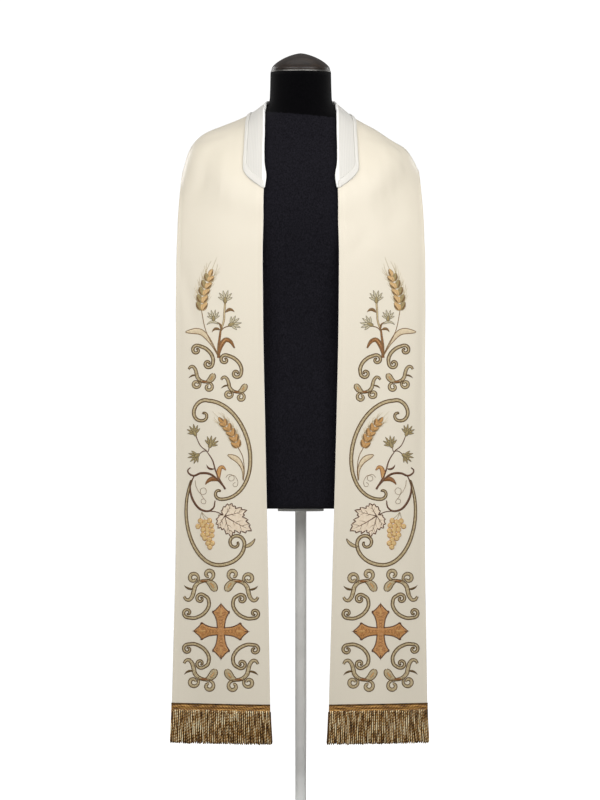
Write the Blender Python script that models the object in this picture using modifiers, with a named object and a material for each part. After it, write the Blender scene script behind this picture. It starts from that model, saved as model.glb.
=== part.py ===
"""A clerical stole worn on a limbless dress form that stands on a pole and a round base.

Metres, +Z up.  The front faces -Y, and the wearer's left side is +X.  The origin is on the floor,
under the middle of the base.  The sizes below are in millimetres, and mm() turns them to metres.
"""

import math
from collections import namedtuple

import bmesh
import bpy
from mathutils import Vector
from mathutils.bvhtree import BVHTree

MM = 0.001
JOINT_GAP = 0.3            # between the hard pieces that stand on each other
MERGE = 0.00001            # metres

# ---- the dress form ----------------------------------------------------------------------------
# One row for each horizontal section.  half_width runs from the middle to the side, front and back
# are the depths from the line y = middle, and roundness is the power of the superellipse, where 2
# is an ellipse and more is squarer.
Ring = namedtuple("Ring", "z half_width front back middle roundness")
FORM_RINGS = (
    Ring(670, 161, 107, 111, 0, 2.5),         # flat underside
    Ring(676, 166, 112, 116, 0, 2.5),
    Ring(760, 170, 117, 126, 0, 2.5),
    Ring(840, 170, 117, 128, 0, 2.5),         # seat
    Ring(930, 160, 112, 116, 0, 2.4),
    Ring(1020, 152, 108, 104, 0, 2.4),        # waist
    Ring(1110, 161, 114, 107, 0, 2.4),
    Ring(1190, 177, 124, 113, 0, 2.4),
    Ring(1245, 193, 127, 117, 2, 2.4),        # chest
    Ring(1300, 208, 118, 113, 5, 2.4),
    Ring(1336, 215, 106, 106, 8, 2.3),
    Ring(1357, 212, 96, 98, 9, 2.2),          # shoulder tip
    Ring(1374, 195, 88, 92, 9, 2.1),
    Ring(1388, 173, 81, 87, 9, 2.05),
    Ring(1404, 148, 75, 81, 8, 2.0),
    Ring(1420, 120, 69, 75, 8, 2.0),
    Ring(1435, 91, 64, 70, 7, 2.0),
    Ring(1449, 69, 61.5, 65, 6, 2.0),         # foot of the neck
    Ring(1463, 62, 60.8, 62, 6, 2.0),
    Ring(1480, 60.6, 60.3, 60.6, 6, 2.0),
    Ring(1500, 60, 60, 60, 6, 2.0),
    Ring(1522, 59.5, 59.5, 59.5, 6, 2.0),     # top of the neck
)
FORM_SIDES = 40
FORM_STEP = 30.0           # longest distance between two sections of the mesh

FORM_BOTTOM = FORM_RINGS[0].z
NECK_TOP = FORM_RINGS[-1].z
NECK_MIDDLE = FORM_RINGS[-1].middle
RIM_RADIUS = 59.0
RIM_HEIGHT = 3.2
CAP_RADIUS = 57.5
CAP_HEIGHT = 34.0
CAP_EDGE = 1.5             # upright edge of the cap, under its dome
CAP_RINGS = 8
CAP_POWER = 1.5            # of the dome's superellipse: it rises to a blunt point

# ---- the stand ---------------------------------------------------------------------------------
PLATE_RADIUS = 45.0
PLATE_HEIGHT = 6.0
POLE_RADIUS = 11.0
HUB_TOP = 42.0
BASE_RADIUS = 190.0

# The base's outline from the top of its hub, down and out to its rim and back in underneath.
Turn = namedtuple("Turn", "radius z")
BASE_PROFILE = (
    Turn(0, HUB_TOP),
    Turn(17, HUB_TOP),
    Turn(20, 39),
    Turn(24, 20),                     # foot of the hub
    Turn(29, 14.5),
    Turn(36, 13),
    Turn(114, 11.5),                  # the low dome of the plate
    Turn(186, 9),
    Turn(189, 7),
    Turn(BASE_RADIUS, 5),             # rim
    Turn(BASE_RADIUS, 2),
    Turn(188, 0),
    Turn(0, 0),
)

# ---- the stole ---------------------------------------------------------------------------------
CLOTH = 2.4                # face, interlining and lining together
BODY_CLEARANCE = 0.9       # form to cloth
NECK_CLEARANCE = 3.2       # form to cloth at the neck edge, where the collar strip turns in
NECK_ROOM = 16.0           # how far from the neck edge that extra room reaches
CENTRE_SEAM = 0.4          # between the two halves, at the centre back

# One row for each section across one half, from the centre-back seam over the shoulder to the hem.
# The inner edge is the one beside the neck.  bow is how far the section bows out between its
# edges, and peak is the share of its width at which it bows the most.
Station = namedtuple("Station", "inner_x inner_y inner_z outer_x outer_y outer_z bow peak")
STATIONS = (
    Station(0, 77, 1466, 0, 122, 1312, 2, 0.50),              # centre back
    Station(37, 69, 1467, 77, 120, 1317, 4, 0.55),
    Station(60, 44, 1466, 149, 103, 1324, 7, 0.60),
    Station(66, 18, 1463, 203, 64, 1330, 9, 0.68),
    Station(65.5, -4, 1457, 226, 22, 1333, 10, 0.74),          # along the shoulder
    Station(67, -30, 1440, 231, -10, 1317, 10, 0.72),
    Station(69.5, -56, 1411, 234, -30, 1290, 10, 0.66),
    Station(71, -79, 1372, 237, -40, 1259, 9, 0.60),
    Station(71, -99, 1328, 239, -47, 1228, 9, 0.55),
    Station(71, -115, 1280, 240, -53, 1197, 8, 0.50),         # below the end of the collar strip
    Station(72, -124, 1230, 241.5, -57, 1165, 7, 0.50),       # over the chest
    Station(73.5, -128, 1170, 242, -60, 1122, 6, 0.50),
    Station(73, -130, 1080, 242.5, -64, 1050, 6, 0.50),
    Station(72, -131, 990, 242, -67, 975, 5, 0.50),
    Station(69, -131, 850, 242, -71, 843, 5, 0.50),
    Station(65.5, -130, 700, 241.5, -75, 698, 4, 0.50),
    Station(62, -128, 554, 242.5, -79, 554, 4, 0.50),
    Station(59.5, -126, 430, 245, -82, 432, 4, 0.50),
    Station(56, -124, 276.5, 248, -86, 278, 3, 0.50),           # hem
)
SHOULDER = 4               # the station along the shoulder
HANGS_FROM = 10            # the station from which the front hangs free of the form
SHORT_STEP = 17.0          # length of a face where the band bends
LONG_STEP = 45.0           # and where it hangs
COLLAR_COLUMNS = 3         # faces across the band under the collar strip
WIDE_COLUMNS = 7           # faces across the rest of the band
RELAX_ROUNDS = 6
RELAX_PULL = 0.3

PUFF_LENGTH = 75.0         # how far along the band the puff at a shoulder reaches
WAVE_SLANT = 0.35          # turns by which the waves of a hanging front shift on their way down
CLEARANCE_SAMPLES = (0, 1 / 3, 2 / 3, 1)     # across and along each face, to keep it off the form

# Each half hangs in its own way.  puff is how far it stands off the shoulder, depth is the height
# of the long shallow waves that grow towards the hem, and drift moves the hem sideways.
Hang = namedtuple("Hang", "puff depth waves_across turn drift")
HANGS = {
    "left": Hang(1.0, 2.6, 1.15, 0.25, -2.0),
    "right": Hang(27.0, 3.2, 0.95, 0.60, 3.0),
}

# ---- the washable collar strip -----------------------------------------------------------------
COLLAR_WIDTH = 45.0
COLLAR_CLOTH = 1.2
COLLAR_LIFT = 0.8         # between the strip and the cloth that it lies on
COLLAR_END_Z = 1290.0      # height of its front ends, on the neck edge
COLLAR_LEG = 6.0           # the part turned in behind the neck edge
CORNER_LENGTH = 64.0       # how far up the neck edge each rounded lower corner reaches
CORNER_POWER = 1.45        # and how full it is
CORNER_SHARES = (0.14, 0.28, 0.42, 0.56, 0.69, 0.80, 0.88, 0.94)    # rows of faces round it
FOLD_REACH = 1.2           # how far the fold stands off the neck edge
FOLD_BULGE = 4.5           # and how much more near its front ends
BULGE_FROM_END = 24.0
BULGE_LENGTH = 30.0

# ---- the fringes -------------------------------------------------------------------------------
HEADING_HEIGHT = 15.0
HEADING_DROP = 1.0         # how far the heading hangs below the hem
HEADING_CLOTH = 1.6
HEADING_LIFT = 0.45
STRANDS = 50
STRAND_LENGTH = 65.0
STRAND_SHARE = 0.66        # how much of its pitch a strand fills
STRAND_BENDS = 2
STRAND_SWING = 1.3
STRAND_UNEVEN = 3.0
STRAND_TIP = 0.75          # width at the tip, as a share of the root
FRINGE_FLARE = 3.5         # how far the outermost strands lean out

Finish = namedtuple("Finish", "colour roughness metallic")
FINISHES = {
    "cream_satin": Finish((0.86, 0.80, 0.68), 0.55, 0.0),
    "white_cotton": Finish((0.84, 0.83, 0.79), 0.80, 0.0),
    "gold_bullion": Finish((0.27, 0.17, 0.075), 0.50, 0.3),
    "black_jersey": Finish((0.014, 0.014, 0.018), 0.90, 0.0),
    "dark_wood": Finish((0.042, 0.031, 0.024), 0.50, 0.0),
    "bright_metal": Finish((0.70, 0.70, 0.68), 0.25, 1.0),
    "white_lacquer": Finish((0.85, 0.85, 0.84), 0.40, 0.0),
}


def mm(x, y, z):
    """A point given in millimetres, in metres."""
    return Vector((x, y, z)) * MM


def clear_scene():
    for obj in list(bpy.data.objects):
        bpy.data.objects.remove(obj)
    for collection in list(bpy.data.collections):
        bpy.data.collections.remove(collection)


def make_collection():
    collection = bpy.data.collections.new("stole_on_dress_form")
    bpy.context.scene.collection.children.link(collection)
    return collection


def make_material(name):
    finish = FINISHES[name]
    material = bpy.data.materials.new(name)
    material.use_nodes = True
    shader = material.node_tree.nodes["Principled BSDF"]
    shader.inputs["Base Color"].default_value = (*finish.colour, 1)
    shader.inputs["Roughness"].default_value = finish.roughness
    shader.inputs["Metallic"].default_value = finish.metallic
    material.diffuse_color = (*finish.colour, 1)
    return material


def add_object(name, bm, finish):
    """The bmesh as a named object with its finish, smooth but for its sharp edges."""
    mesh = bpy.data.meshes.new(name)
    bm.to_mesh(mesh)
    bm.free()
    mesh.shade_smooth()
    mesh.set_sharp_from_angle(angle=math.radians(40))
    obj = bpy.data.objects.new(name, mesh)
    part.objects.link(obj)
    obj.data.materials.append(materials[finish])
    return obj


# ---- curves through rows of numbers ------------------------------------------------------------
def running_total(items, measure):
    """How far along each item lies, by the distance that measure gives between neighbours."""
    along = [0.0]
    for before, after in zip(items, items[1:]):
        along.append(along[-1] + measure(before, after))
    return along


def span_of(along, place):
    """The number of the span that holds a place, and the share of it that lies before the place."""
    k = sum(1 for a in along if a <= place) - 1
    k = max(0, min(len(along) - 2, k))
    return k, (place - along[k]) / (along[k + 1] - along[k])


def read_between(along, rows, place):
    """The row at a place between the given rows, on a cubic that runs smoothly through them."""
    last = len(rows) - 1
    k, share = span_of(along, place)
    span = along[k + 1] - along[k]
    square, cube = share ** 2, share ** 3

    def slope(j, column):
        low, high = max(0, j - 1), min(last, j + 1)
        return (rows[high][column] - rows[low][column]) / (along[high] - along[low])

    return [
        (2 * cube - 3 * square + 1) * rows[k][c]
        + (cube - 2 * square + share) * span * slope(k, c)
        + (3 * square - 2 * cube) * rows[k + 1][c]
        + (cube - square) * span * slope(k + 1, c)
        for c in range(len(rows[0]))
    ]


def places_between(along, longest):
    """Every row's place, with even steps added so that none is over the longest of its span."""
    places = [along[0]]
    for start, end, step in zip(along, along[1:], longest):
        count = max(1, math.ceil((end - start) / step))
        places += [start + (end - start) * (i + 1) / count for i in range(count)]
    return places


# ---- the dress form and its stand --------------------------------------------------------------
def ring_point(ring, side):
    """Point number side of a section, counted round from +X."""
    angle = 2 * math.pi * side / FORM_SIDES
    c, s = math.cos(angle), math.sin(angle)
    power = 2 / ring.roundness
    depth = ring.back if s > 0 else ring.front
    return mm(
        math.copysign(ring.half_width * abs(c) ** power, c),
        ring.middle + math.copysign(depth * abs(s) ** power, s),
        ring.z,
    )


def ring_distance(a, b):
    return math.hypot(b.z - a.z, b.half_width - a.half_width)


def make_torso():
    """The torso and neck, lofted through the sections, with a flat face at each end."""
    along = running_total(FORM_RINGS, ring_distance)
    bm = bmesh.new()
    rings = []
    for place in places_between(along, [FORM_STEP] * (len(FORM_RINGS) - 1)):
        ring = Ring(*read_between(along, FORM_RINGS, place))
        rings.append([bm.verts.new(ring_point(ring, side)) for side in range(FORM_SIDES)])
    for lower, upper in zip(rings, rings[1:]):
        for side in range(FORM_SIDES):
            after = (side + 1) % FORM_SIDES
            bm.faces.new((lower[side], lower[after], upper[after], upper[side]))
    bm.faces.new(rings[0][::-1])
    bm.faces.new(rings[-1])
    return add_object("form_torso", bm, "black_jersey")


def turned(name, profile, finish, middle_y=0.0, sides=36):
    """A solid turned round an upright axis from (radius, z) rows, from its top down to its bottom."""
    bm = bmesh.new()
    outline = [bm.verts.new(mm(radius, 0, z)) for radius, z in profile]
    for pair in zip(outline, outline[1:]):
        bm.edges.new(pair)
    obj = add_object(name, bm, finish)
    obj.location = mm(0, middle_y, 0)
    screw = obj.modifiers.new("Turned", "SCREW")
    screw.steps = sides
    screw.render_steps = sides
    screw.use_merge_vertices = True
    screw.merge_threshold = MERGE
    return obj


def make_neck_cap():
    """A low domed cap on the neck, with a thin bright rim under it."""
    rim_bottom = NECK_TOP + JOINT_GAP
    rim_top = rim_bottom + RIM_HEIGHT
    rim = [(0, rim_top), (RIM_RADIUS - 1, rim_top), (RIM_RADIUS, rim_top - 1),
           (RIM_RADIUS, rim_bottom + 1), (RIM_RADIUS - 1, rim_bottom), (0, rim_bottom)]
    turned("cap_rim", rim, "bright_metal", NECK_MIDDLE)
    foot = rim_top + JOINT_GAP
    rise = CAP_HEIGHT - CAP_EDGE
    dome = []
    for i in range(CAP_RINGS + 1):
        turn = math.radians(90) * i / CAP_RINGS
        out, up = math.sin(turn) ** (2 / CAP_POWER), max(0.0, math.cos(turn)) ** (2 / CAP_POWER)
        dome.append((CAP_RADIUS * out, foot + CAP_EDGE + rise * up))
    turned("neck_cap", dome + [(CAP_RADIUS, foot), (0, foot)], "dark_wood", NECK_MIDDLE)


def make_stand():
    """The plate under the torso, the pole, and the round base with its hub."""
    plate_top = FORM_BOTTOM - JOINT_GAP
    plate_bottom = plate_top - PLATE_HEIGHT
    plate = [(0, plate_top), (PLATE_RADIUS, plate_top), (PLATE_RADIUS, plate_bottom), (0, plate_bottom)]
    turned("stand_plate", plate, "white_lacquer")
    pole_top = plate_bottom - JOINT_GAP
    pole_bottom = HUB_TOP + JOINT_GAP
    pole = [(0, pole_top), (POLE_RADIUS, pole_top), (POLE_RADIUS, pole_bottom), (0, pole_bottom)]
    turned("stand_pole", pole, "white_lacquer", sides=28)
    turned("stand_base", BASE_PROFILE, "white_lacquer", sides=60)


# ---- the stole ---------------------------------------------------------------------------------
def station_distance(a, b):
    """The mean of how far the inner and the outer edge run between two sections."""
    inner = Vector(a[0:3]) - Vector(b[0:3])
    outer = Vector(a[3:6]) - Vector(b[3:6])
    return (inner.length + outer.length) / 2


def columns_across(width):
    """Shares of the width: the collar strip's columns first, then even ones to the outer edge."""
    covered = COLLAR_WIDTH / width
    under = [covered * j / COLLAR_COLUMNS for j in range(COLLAR_COLUMNS + 1)]
    rest = [covered + (1 - covered) * (j + 1) / WIDE_COLUMNS for j in range(WIDE_COLUMNS)]
    return under + rest


def arch(t, peak):
    """A curve from 0 at t = 0 to 0 at t = 1 that reaches 1 where t = peak."""
    power = peak / (1 - peak)
    return t ** power * (1 - t) / (peak ** power * (1 - peak))


class Band:
    """The inner face of one half of the stole, on +X: rows of points that run across the band.

    The rows go from the centre back to the hem, and the points of a row from the neck edge out.
    """

    def __init__(self, side, form_surface):
        self.sign = 1 if side == "left" else -1
        self.hang = HANGS[side]
        self.form = form_surface
        self.along = running_total(STATIONS, station_distance)
        steps = [SHORT_STEP if k < HANGS_FROM else LONG_STEP for k in range(len(STATIONS) - 1)]
        self.places = places_between(self.along, steps)
        self.rows = [self.section(place) for place in self.places]
        self.last_column = len(self.rows[0]) - 1
        for _ in range(RELAX_ROUNDS):
            self.relax()
            self.rest_on_form()
        for point in self.rows[0]:
            point.x = CENTRE_SEAM / 2 * MM

    def section(self, place):
        """The points across the band at a place along it, before they rest on the form."""
        station = Station(*read_between(self.along, STATIONS, place))
        inner, outer = Vector(station[0:3]), Vector(station[3:6])
        behind = read_between(self.along, STATIONS, max(place - 1, 0))
        ahead = read_between(self.along, STATIONS, min(place + 1, self.along[-1]))
        forward = Vector(ahead[0:3]) + Vector(ahead[3:6]) - Vector(behind[0:3]) - Vector(behind[3:6])
        out = forward.cross(outer - inner).normalized()
        start = self.along[HANGS_FROM]
        free = max(0.0, (place - start) / (self.along[-1] - start))
        from_shoulder = (place - self.along[SHOULDER]) / PUFF_LENGTH
        bow = station.bow + self.hang.puff * math.exp(-from_shoulder ** 2)
        points = []
        for t in columns_across((outer - inner).length):
            turns = self.hang.waves_across * t + self.hang.turn + WAVE_SLANT * free
            wave = math.sin(2 * math.pi * turns)
            rise = bow * arch(t, station.peak) + self.hang.depth * free * wave
            point = inner.lerp(outer, t) + out * rise
            point.x += self.hang.drift * free ** 2
            points.append(point * MM)
        return points

    def normal(self, i, j):
        """The outward direction at a point of the band."""
        across = self.rows[i][min(j + 1, self.last_column)] - self.rows[i][max(j - 1, 0)]
        length = self.rows[min(i + 1, len(self.rows) - 1)][j] - self.rows[max(i - 1, 0)][j]
        if i == 0:
            length = Vector((1, 0, 0))
        return length.cross(across).normalized()

    def relax(self):
        """Evens out the part that lies on the form, as stiff cloth does."""
        moves = []
        for i, row in enumerate(self.rows[1:-1], start=1):
            if self.places[i] > self.along[HANGS_FROM]:
                break
            for j in range(1, self.last_column):
                around = row[j - 1] + row[j + 1] + self.rows[i - 1][j] + self.rows[i + 1][j]
                normal = self.normal(i, j)
                moves.append((row[j], normal * (around / 4 - row[j]).dot(normal) * RELAX_PULL))
        for point, move in moves:
            point += move

    def lack(self, point, from_neck_edge):
        """The move that a point needs to clear the form."""
        room = (NECK_CLEARANCE - BODY_CLEARANCE) * math.exp(-((from_neck_edge / MM / NECK_ROOM) ** 2))
        nearest, normal, _, _ = self.form.find_nearest(point)
        short = (BODY_CLEARANCE + room) * MM - (point - nearest).dot(normal)
        return normal * max(0.0, short)

    def rest_on_form(self):
        """Moves the points out until they and the middles of the faces between them clear the form."""
        for row in self.rows:
            widths = self.widths(row)
            for point, width in zip(row, widths):
                point += self.lack(point, width)
        for this, after in zip(self.rows, self.rows[1:]):
            widths = self.widths(this)
            for j in range(self.last_column):
                corners = (this[j], this[j + 1], after[j], after[j + 1])
                for across in CLEARANCE_SAMPLES:
                    for along in CLEARANCE_SAMPLES:
                        near = corners[0].lerp(corners[1], across)
                        far = corners[2].lerp(corners[3], across)
                        move = self.lack(near.lerp(far, along), widths[j])
                        for point in corners:
                            point += move

    def widths(self, row):
        """How far from the neck edge each point of a row lies, in metres."""
        return running_total(row, lambda a, b: (b - a).length)

    def at(self, place, from_edge, lift):
        """The point this far from the neck edge and this high over the inner face, in metres."""
        first, share = span_of(self.places, place)
        found = []
        for i in (first, first + 1):
            row = self.rows[i]
            j, t = span_of(self.widths(row), from_edge)
            on_cloth = row[j].lerp(row[j + 1], t)
            between = max(0.0, min(1.0, t))
            normal = self.normal(i, j).lerp(self.normal(i, j + 1), between).normalized()
            found.append(on_cloth + normal * lift)
        return found[0].lerp(found[1], share)

    def on_its_side(self, point):
        """A point of the band, on the side of the body that this half is worn on."""
        return Vector((self.sign * point.x, point.y, point.z))


def surface_through(rows, mirrored=False):
    """An open surface through rows of points.  It faces out for a band on +X or its mirror on -X."""
    bm = bmesh.new()
    grid = bmesh.ops.create_grid(bm, x_segments=len(rows[0]) - 1, y_segments=len(rows) - 1)
    for vert, point in zip(grid["verts"], (point for row in rows for point in row)):
        vert.co = point
    if not mirrored:
        bmesh.ops.reverse_faces(bm, faces=bm.faces)
    bm.normal_update()
    return bm


def thicken(obj, thickness):
    """Gives an open surface a wall that grows outwards from it."""
    wall = obj.modifiers.new("Wall", "SOLIDIFY")
    wall.thickness = thickness * MM
    wall.offset = 1
    wall.use_even_offset = True


def make_stole_half(side, band):
    bm = surface_through([[band.on_its_side(p) for p in row] for row in band.rows], band.sign < 0)
    thicken(add_object(f"stole_{side}", bm, "cream_satin"), CLOTH)


# ---- the collar strip --------------------------------------------------------------------------
def collar_row(band, place, to_end):
    """The strip's inner face at one place: leg, fold and flap, with the flap rounded off at its end."""
    over, under = (CLOTH + COLLAR_LIFT) * MM, -COLLAR_LIFT * MM
    near_end = math.exp(-(((to_end / MM - BULGE_FROM_END) / BULGE_LENGTH) ** 2) * 2)
    reach = (FOLD_REACH + FOLD_BULGE * near_end) * MM
    into_corner = max(0.0, 1 - to_end / (CORNER_LENGTH * MM))
    flap = 1 - into_corner ** CORNER_POWER
    middle, radius = (over + under) / 2, (over - under) / 2
    points = [band.at(place, COLLAR_LEG * MM, under)]
    for degrees in (-90, -35, 35, 90):
        turn = math.radians(degrees)
        points.append(band.at(place, -reach * math.cos(turn), middle + radius * math.sin(turn)))
    for column in range(1, COLLAR_COLUMNS + 1):
        points.append(band.at(place, flap * COLLAR_WIDTH * MM * column / COLLAR_COLUMNS, over))
    return points


def collar_half(band):
    """The strip's rows over one half, from the centre back to its rounded front end."""
    edge = running_total([row[0] for row in band.rows], lambda a, b: (b - a).length)
    below = next(i for i, row in enumerate(band.rows) if row[0].y < 0 and row[0].z < COLLAR_END_Z * MM)
    above = band.rows[below - 1][0].z
    share = (above - COLLAR_END_Z * MM) / (above - band.rows[below][0].z)
    end = edge[below - 1] + (edge[below] - edge[below - 1]) * share
    corner = end - CORNER_LENGTH * MM
    stops = [stop for stop in edge if stop < corner - SHORT_STEP / 3 * MM] + [corner]
    stops += [corner + CORNER_LENGTH * MM * share for share in CORNER_SHARES]
    rows = []
    for stop in stops:
        k, part_way = span_of(edge, stop)
        place = band.places[k] + (band.places[k + 1] - band.places[k]) * part_way
        rows.append([band.on_its_side(p) for p in collar_row(band, place, end - stop)])
    return rows


def make_collar(bands):
    """One strip folded over the whole neck edge, from one front end round the back to the other."""
    left, right = collar_half(bands["left"]), collar_half(bands["right"])
    centre = [Vector((0, p.y, p.z)) for p in left[0]]
    bm = surface_through(right[:0:-1] + [centre] + left[1:])
    thicken(add_object("collar_strip", bm, "white_cotton"), COLLAR_CLOTH)


# ---- the fringes -------------------------------------------------------------------------------
def make_fringe(side, band):
    """A heading sewn over the hem, with a comb of strands drawn down from its lower edge."""
    hem = band.along[-1]
    width = band.widths(band.rows[-1])[-1]
    pitch = width / (STRANDS - 1 + STRAND_SHARE)
    starts = [pitch * number for number in range(STRANDS)]
    edges = [x for start in starts for x in (start, start + pitch * STRAND_SHARE)]
    lift = (CLOTH + HEADING_LIFT) * MM
    rows = [
        [band.on_its_side(band.at(hem - height, x, lift)) for x in edges]
        for height in (HEADING_HEIGHT, -HEADING_DROP)
    ]
    bm = surface_through(rows, band.sign < 0)
    bmesh.ops.solidify(bm, geom=bm.faces[:], thickness=-HEADING_CLOTH * MM)
    bmesh.ops.recalc_face_normals(bm, faces=bm.faces)
    underside = [face for face in bm.faces if face.normal.z < -0.7]
    underside.sort(key=lambda face: abs(face.calc_center_median().x))
    for number, root in enumerate(underside[::2]):
        lean = band.sign * FRINGE_FLARE * (2 * number / (STRANDS - 1) - 1)
        draw_strand(bm, root, number, lean)
    add_object(f"fringe_{side}", bm, "gold_bullion")


def draw_strand(bm, root, number, lean):
    """Extrudes one face under the heading into a strand that swings a little from its neighbours."""
    length = STRAND_LENGTH - STRAND_UNEVEN * (0.5 + 0.5 * math.sin(number * 2.3))
    swing = STRAND_SWING * math.sin(number * 2.9 + 1)
    face = root
    for bend in range(STRAND_BENDS):
        face = bmesh.ops.extrude_discrete_faces(bm, faces=[face])["faces"][0]
        sideways = swing if bend == 0 else -0.6 * swing
        bmesh.ops.translate(
            bm, verts=face.verts, vec=mm(lean / STRAND_BENDS, sideways, -length / STRAND_BENDS)
        )
    middle = face.calc_center_median()
    for vert in face.verts:
        vert.co = middle.lerp(vert.co, STRAND_TIP)


def surface_of(obj):
    bm = bmesh.new()
    bm.from_mesh(obj.data)
    tree = BVHTree.FromBMesh(bm)
    bm.free()
    return tree


clear_scene()
part = make_collection()
materials = {name: make_material(name) for name in FINISHES}
torso = make_torso()
make_neck_cap()
make_stand()
form_surface = surface_of(torso)
bands = {side: Band(side, form_surface) for side in HANGS}
for side, band in bands.items():
    make_stole_half(side, band)
    make_fringe(side, band)
make_collar(bands)
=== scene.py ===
"""The finished look of a clerical stole on a limbless dress form.

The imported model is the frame.  Over it go the stole's two halves as thin lined cloth with their
folds, the washable collar strip, the embroidery, the bullion fringes, and the form with its cap
and stand.  Tables are in millimetres, and meshes in metres.  The front faces -Y, and +X is the
wearer's left.
"""

import bisect
import cmath
import itertools
import math
from collections import namedtuple

import bmesh
import bpy
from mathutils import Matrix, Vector, noise
from mathutils.bvhtree import BVHTree


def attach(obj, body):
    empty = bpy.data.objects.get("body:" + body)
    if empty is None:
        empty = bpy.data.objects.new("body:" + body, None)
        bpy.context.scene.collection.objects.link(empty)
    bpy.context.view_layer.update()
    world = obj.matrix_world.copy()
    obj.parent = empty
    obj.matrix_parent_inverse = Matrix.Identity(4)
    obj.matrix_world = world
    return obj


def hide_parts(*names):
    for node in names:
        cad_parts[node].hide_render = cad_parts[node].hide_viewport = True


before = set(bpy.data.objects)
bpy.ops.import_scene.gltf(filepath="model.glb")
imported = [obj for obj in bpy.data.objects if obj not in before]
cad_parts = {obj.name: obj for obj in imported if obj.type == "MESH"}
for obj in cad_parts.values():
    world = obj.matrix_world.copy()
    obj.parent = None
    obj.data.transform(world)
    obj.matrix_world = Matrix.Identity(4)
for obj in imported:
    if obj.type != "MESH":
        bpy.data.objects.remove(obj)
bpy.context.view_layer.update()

MM = 0.001
WELD = 0.01 * MM           # points closer than this are made one

# ---- the form ----------------------------------------------------------------------------------
# One row for each horizontal section, as in the solid.  half_width runs from the middle to the
# side, front and back are the depths from the line y = middle, and roundness is the power of the
# superellipse.
Ring = namedtuple("Ring", "z half_width front back middle roundness")
FORM_RINGS = (
    Ring(670, 161, 107, 111, 0, 2.5),         # flat underside
    Ring(676, 166, 112, 116, 0, 2.5),
    Ring(760, 170, 117, 126, 0, 2.5),
    Ring(840, 170, 117, 128, 0, 2.5),         # seat
    Ring(930, 160, 112, 116, 0, 2.4),
    Ring(1020, 152, 108, 104, 0, 2.4),        # waist
    Ring(1110, 161, 114, 107, 0, 2.4),
    Ring(1190, 177, 124, 113, 0, 2.4),
    Ring(1245, 193, 127, 117, 2, 2.4),        # chest
    Ring(1300, 208, 118, 113, 5, 2.4),
    Ring(1336, 215, 106, 106, 8, 2.3),
    Ring(1357, 212, 96, 98, 9, 2.2),          # shoulder tip
    Ring(1374, 195, 88, 92, 9, 2.1),
    Ring(1388, 173, 81, 87, 9, 2.05),
    Ring(1404, 148, 75, 81, 8, 2.0),
    Ring(1420, 120, 69, 75, 8, 2.0),
    Ring(1435, 91, 64, 70, 7, 2.0),
    Ring(1449, 69, 61.5, 65, 6, 2.0),         # foot of the neck
    Ring(1463, 62, 60.8, 62, 6, 2.0),
    Ring(1480, 60.6, 60.3, 60.6, 6, 2.0),
    Ring(1500, 60, 60, 60, 6, 2.0),
    Ring(1522, 59.5, 59.5, 59.5, 6, 2.0),     # top of the neck
)
FORM_SIDES = 120
FORM_STEP = 9.0            # the longest step between the finer form's rings
FORM_SHRINK = 0.15         # keeps the finer form just inside the solid's own flats
NECK_COVER_Z = 1437.0      # lower edge of the neck's cover, at the middle
NECK_COVER_TILT = -0.095   # and how much it climbs towards +X
NECK_COVER_HEM = 1.2
SEAM_DEPTH = 0.5           # how far the cover's seams sink in
SEAM_HALF = 1.6            # and half the width over which they do
SEAMS_FROM_Z = 690.0       # the seams show between these two heights
SEAMS_TO_Z = 1440.0
SIDE_SEAM_Y = 4.0
SIDE_SEAM_X = 100.0        # the side seams lie farther out than this

NECK_MIDDLE = FORM_RINGS[-1].middle

# ---- cap, rim and stand: outlines turned round an upright line ----------------------------------
Turn = namedtuple("Turn", "radius z")
TURNED_STEPS = 96
TURNED_SHARP = 38          # degrees: a turned piece's outline shows a sharp edge beyond this
CAP_FOOT = 1525.8
CAP_TOP = 1559.8
CAP_RADIUS = 57.5
CAP_EDGE = 2.8             # height of its upright edge, with a turned groove
CAP_POWER = 1.5            # of the dome's superellipse: it rises to a blunt point
CAP_STEPS = 22
# Its upright edge, from the dome down: how far each turn lies from its radius, and from its foot.
CAP_GROOVE = (Turn(0, 2.6), Turn(-0.6, 2.2), Turn(-0.6, 1.8), Turn(0, 1.4), Turn(-0.2, 0.1))
RIM_PROFILE = (Turn(0, 1525.5), Turn(58.2, 1525.5), Turn(59, 1524.8), Turn(59, 1523.0), Turn(58.2, 1522.3),
               Turn(0, 1522.3))
PLATE_PROFILE = (Turn(0, 669.7), Turn(44, 669.7), Turn(45, 668.7), Turn(45, 664.7), Turn(44, 663.7),
                 Turn(0, 663.7))
POLE_PROFILE = (Turn(0, 663.4), Turn(11, 663.4), Turn(11, 42.3), Turn(0, 42.3))
BASE_PROFILE = (
    Turn(0, 42), Turn(15, 42), Turn(17, 41.5), Turn(19, 40), Turn(20, 38), Turn(20.6, 34), Turn(24, 20),
    Turn(26, 16.8), Turn(29, 14.5), Turn(32, 13.5), Turn(36, 13), Turn(114, 11.5), Turn(184, 9.1),
    Turn(187, 8.4), Turn(189, 7), Turn(190, 5), Turn(190, 2), Turn(189.4, 0.7), Turn(188, 0), Turn(0, 0),
)

# ---- the stole's cut and drape, as in the solid --------------------------------------------------
CLOTH = 2.4                # face, interlining and lining together
BODY_CLEARANCE = 0.9       # between the stole and the form
NECK_CLEARANCE = 3.2       # and at the neck edge, from where it goes back to that one
NECK_ROOM = 16.0           # over about this width
CENTRE_SEAM = 0.4          # between the two halves at the centre back

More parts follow.
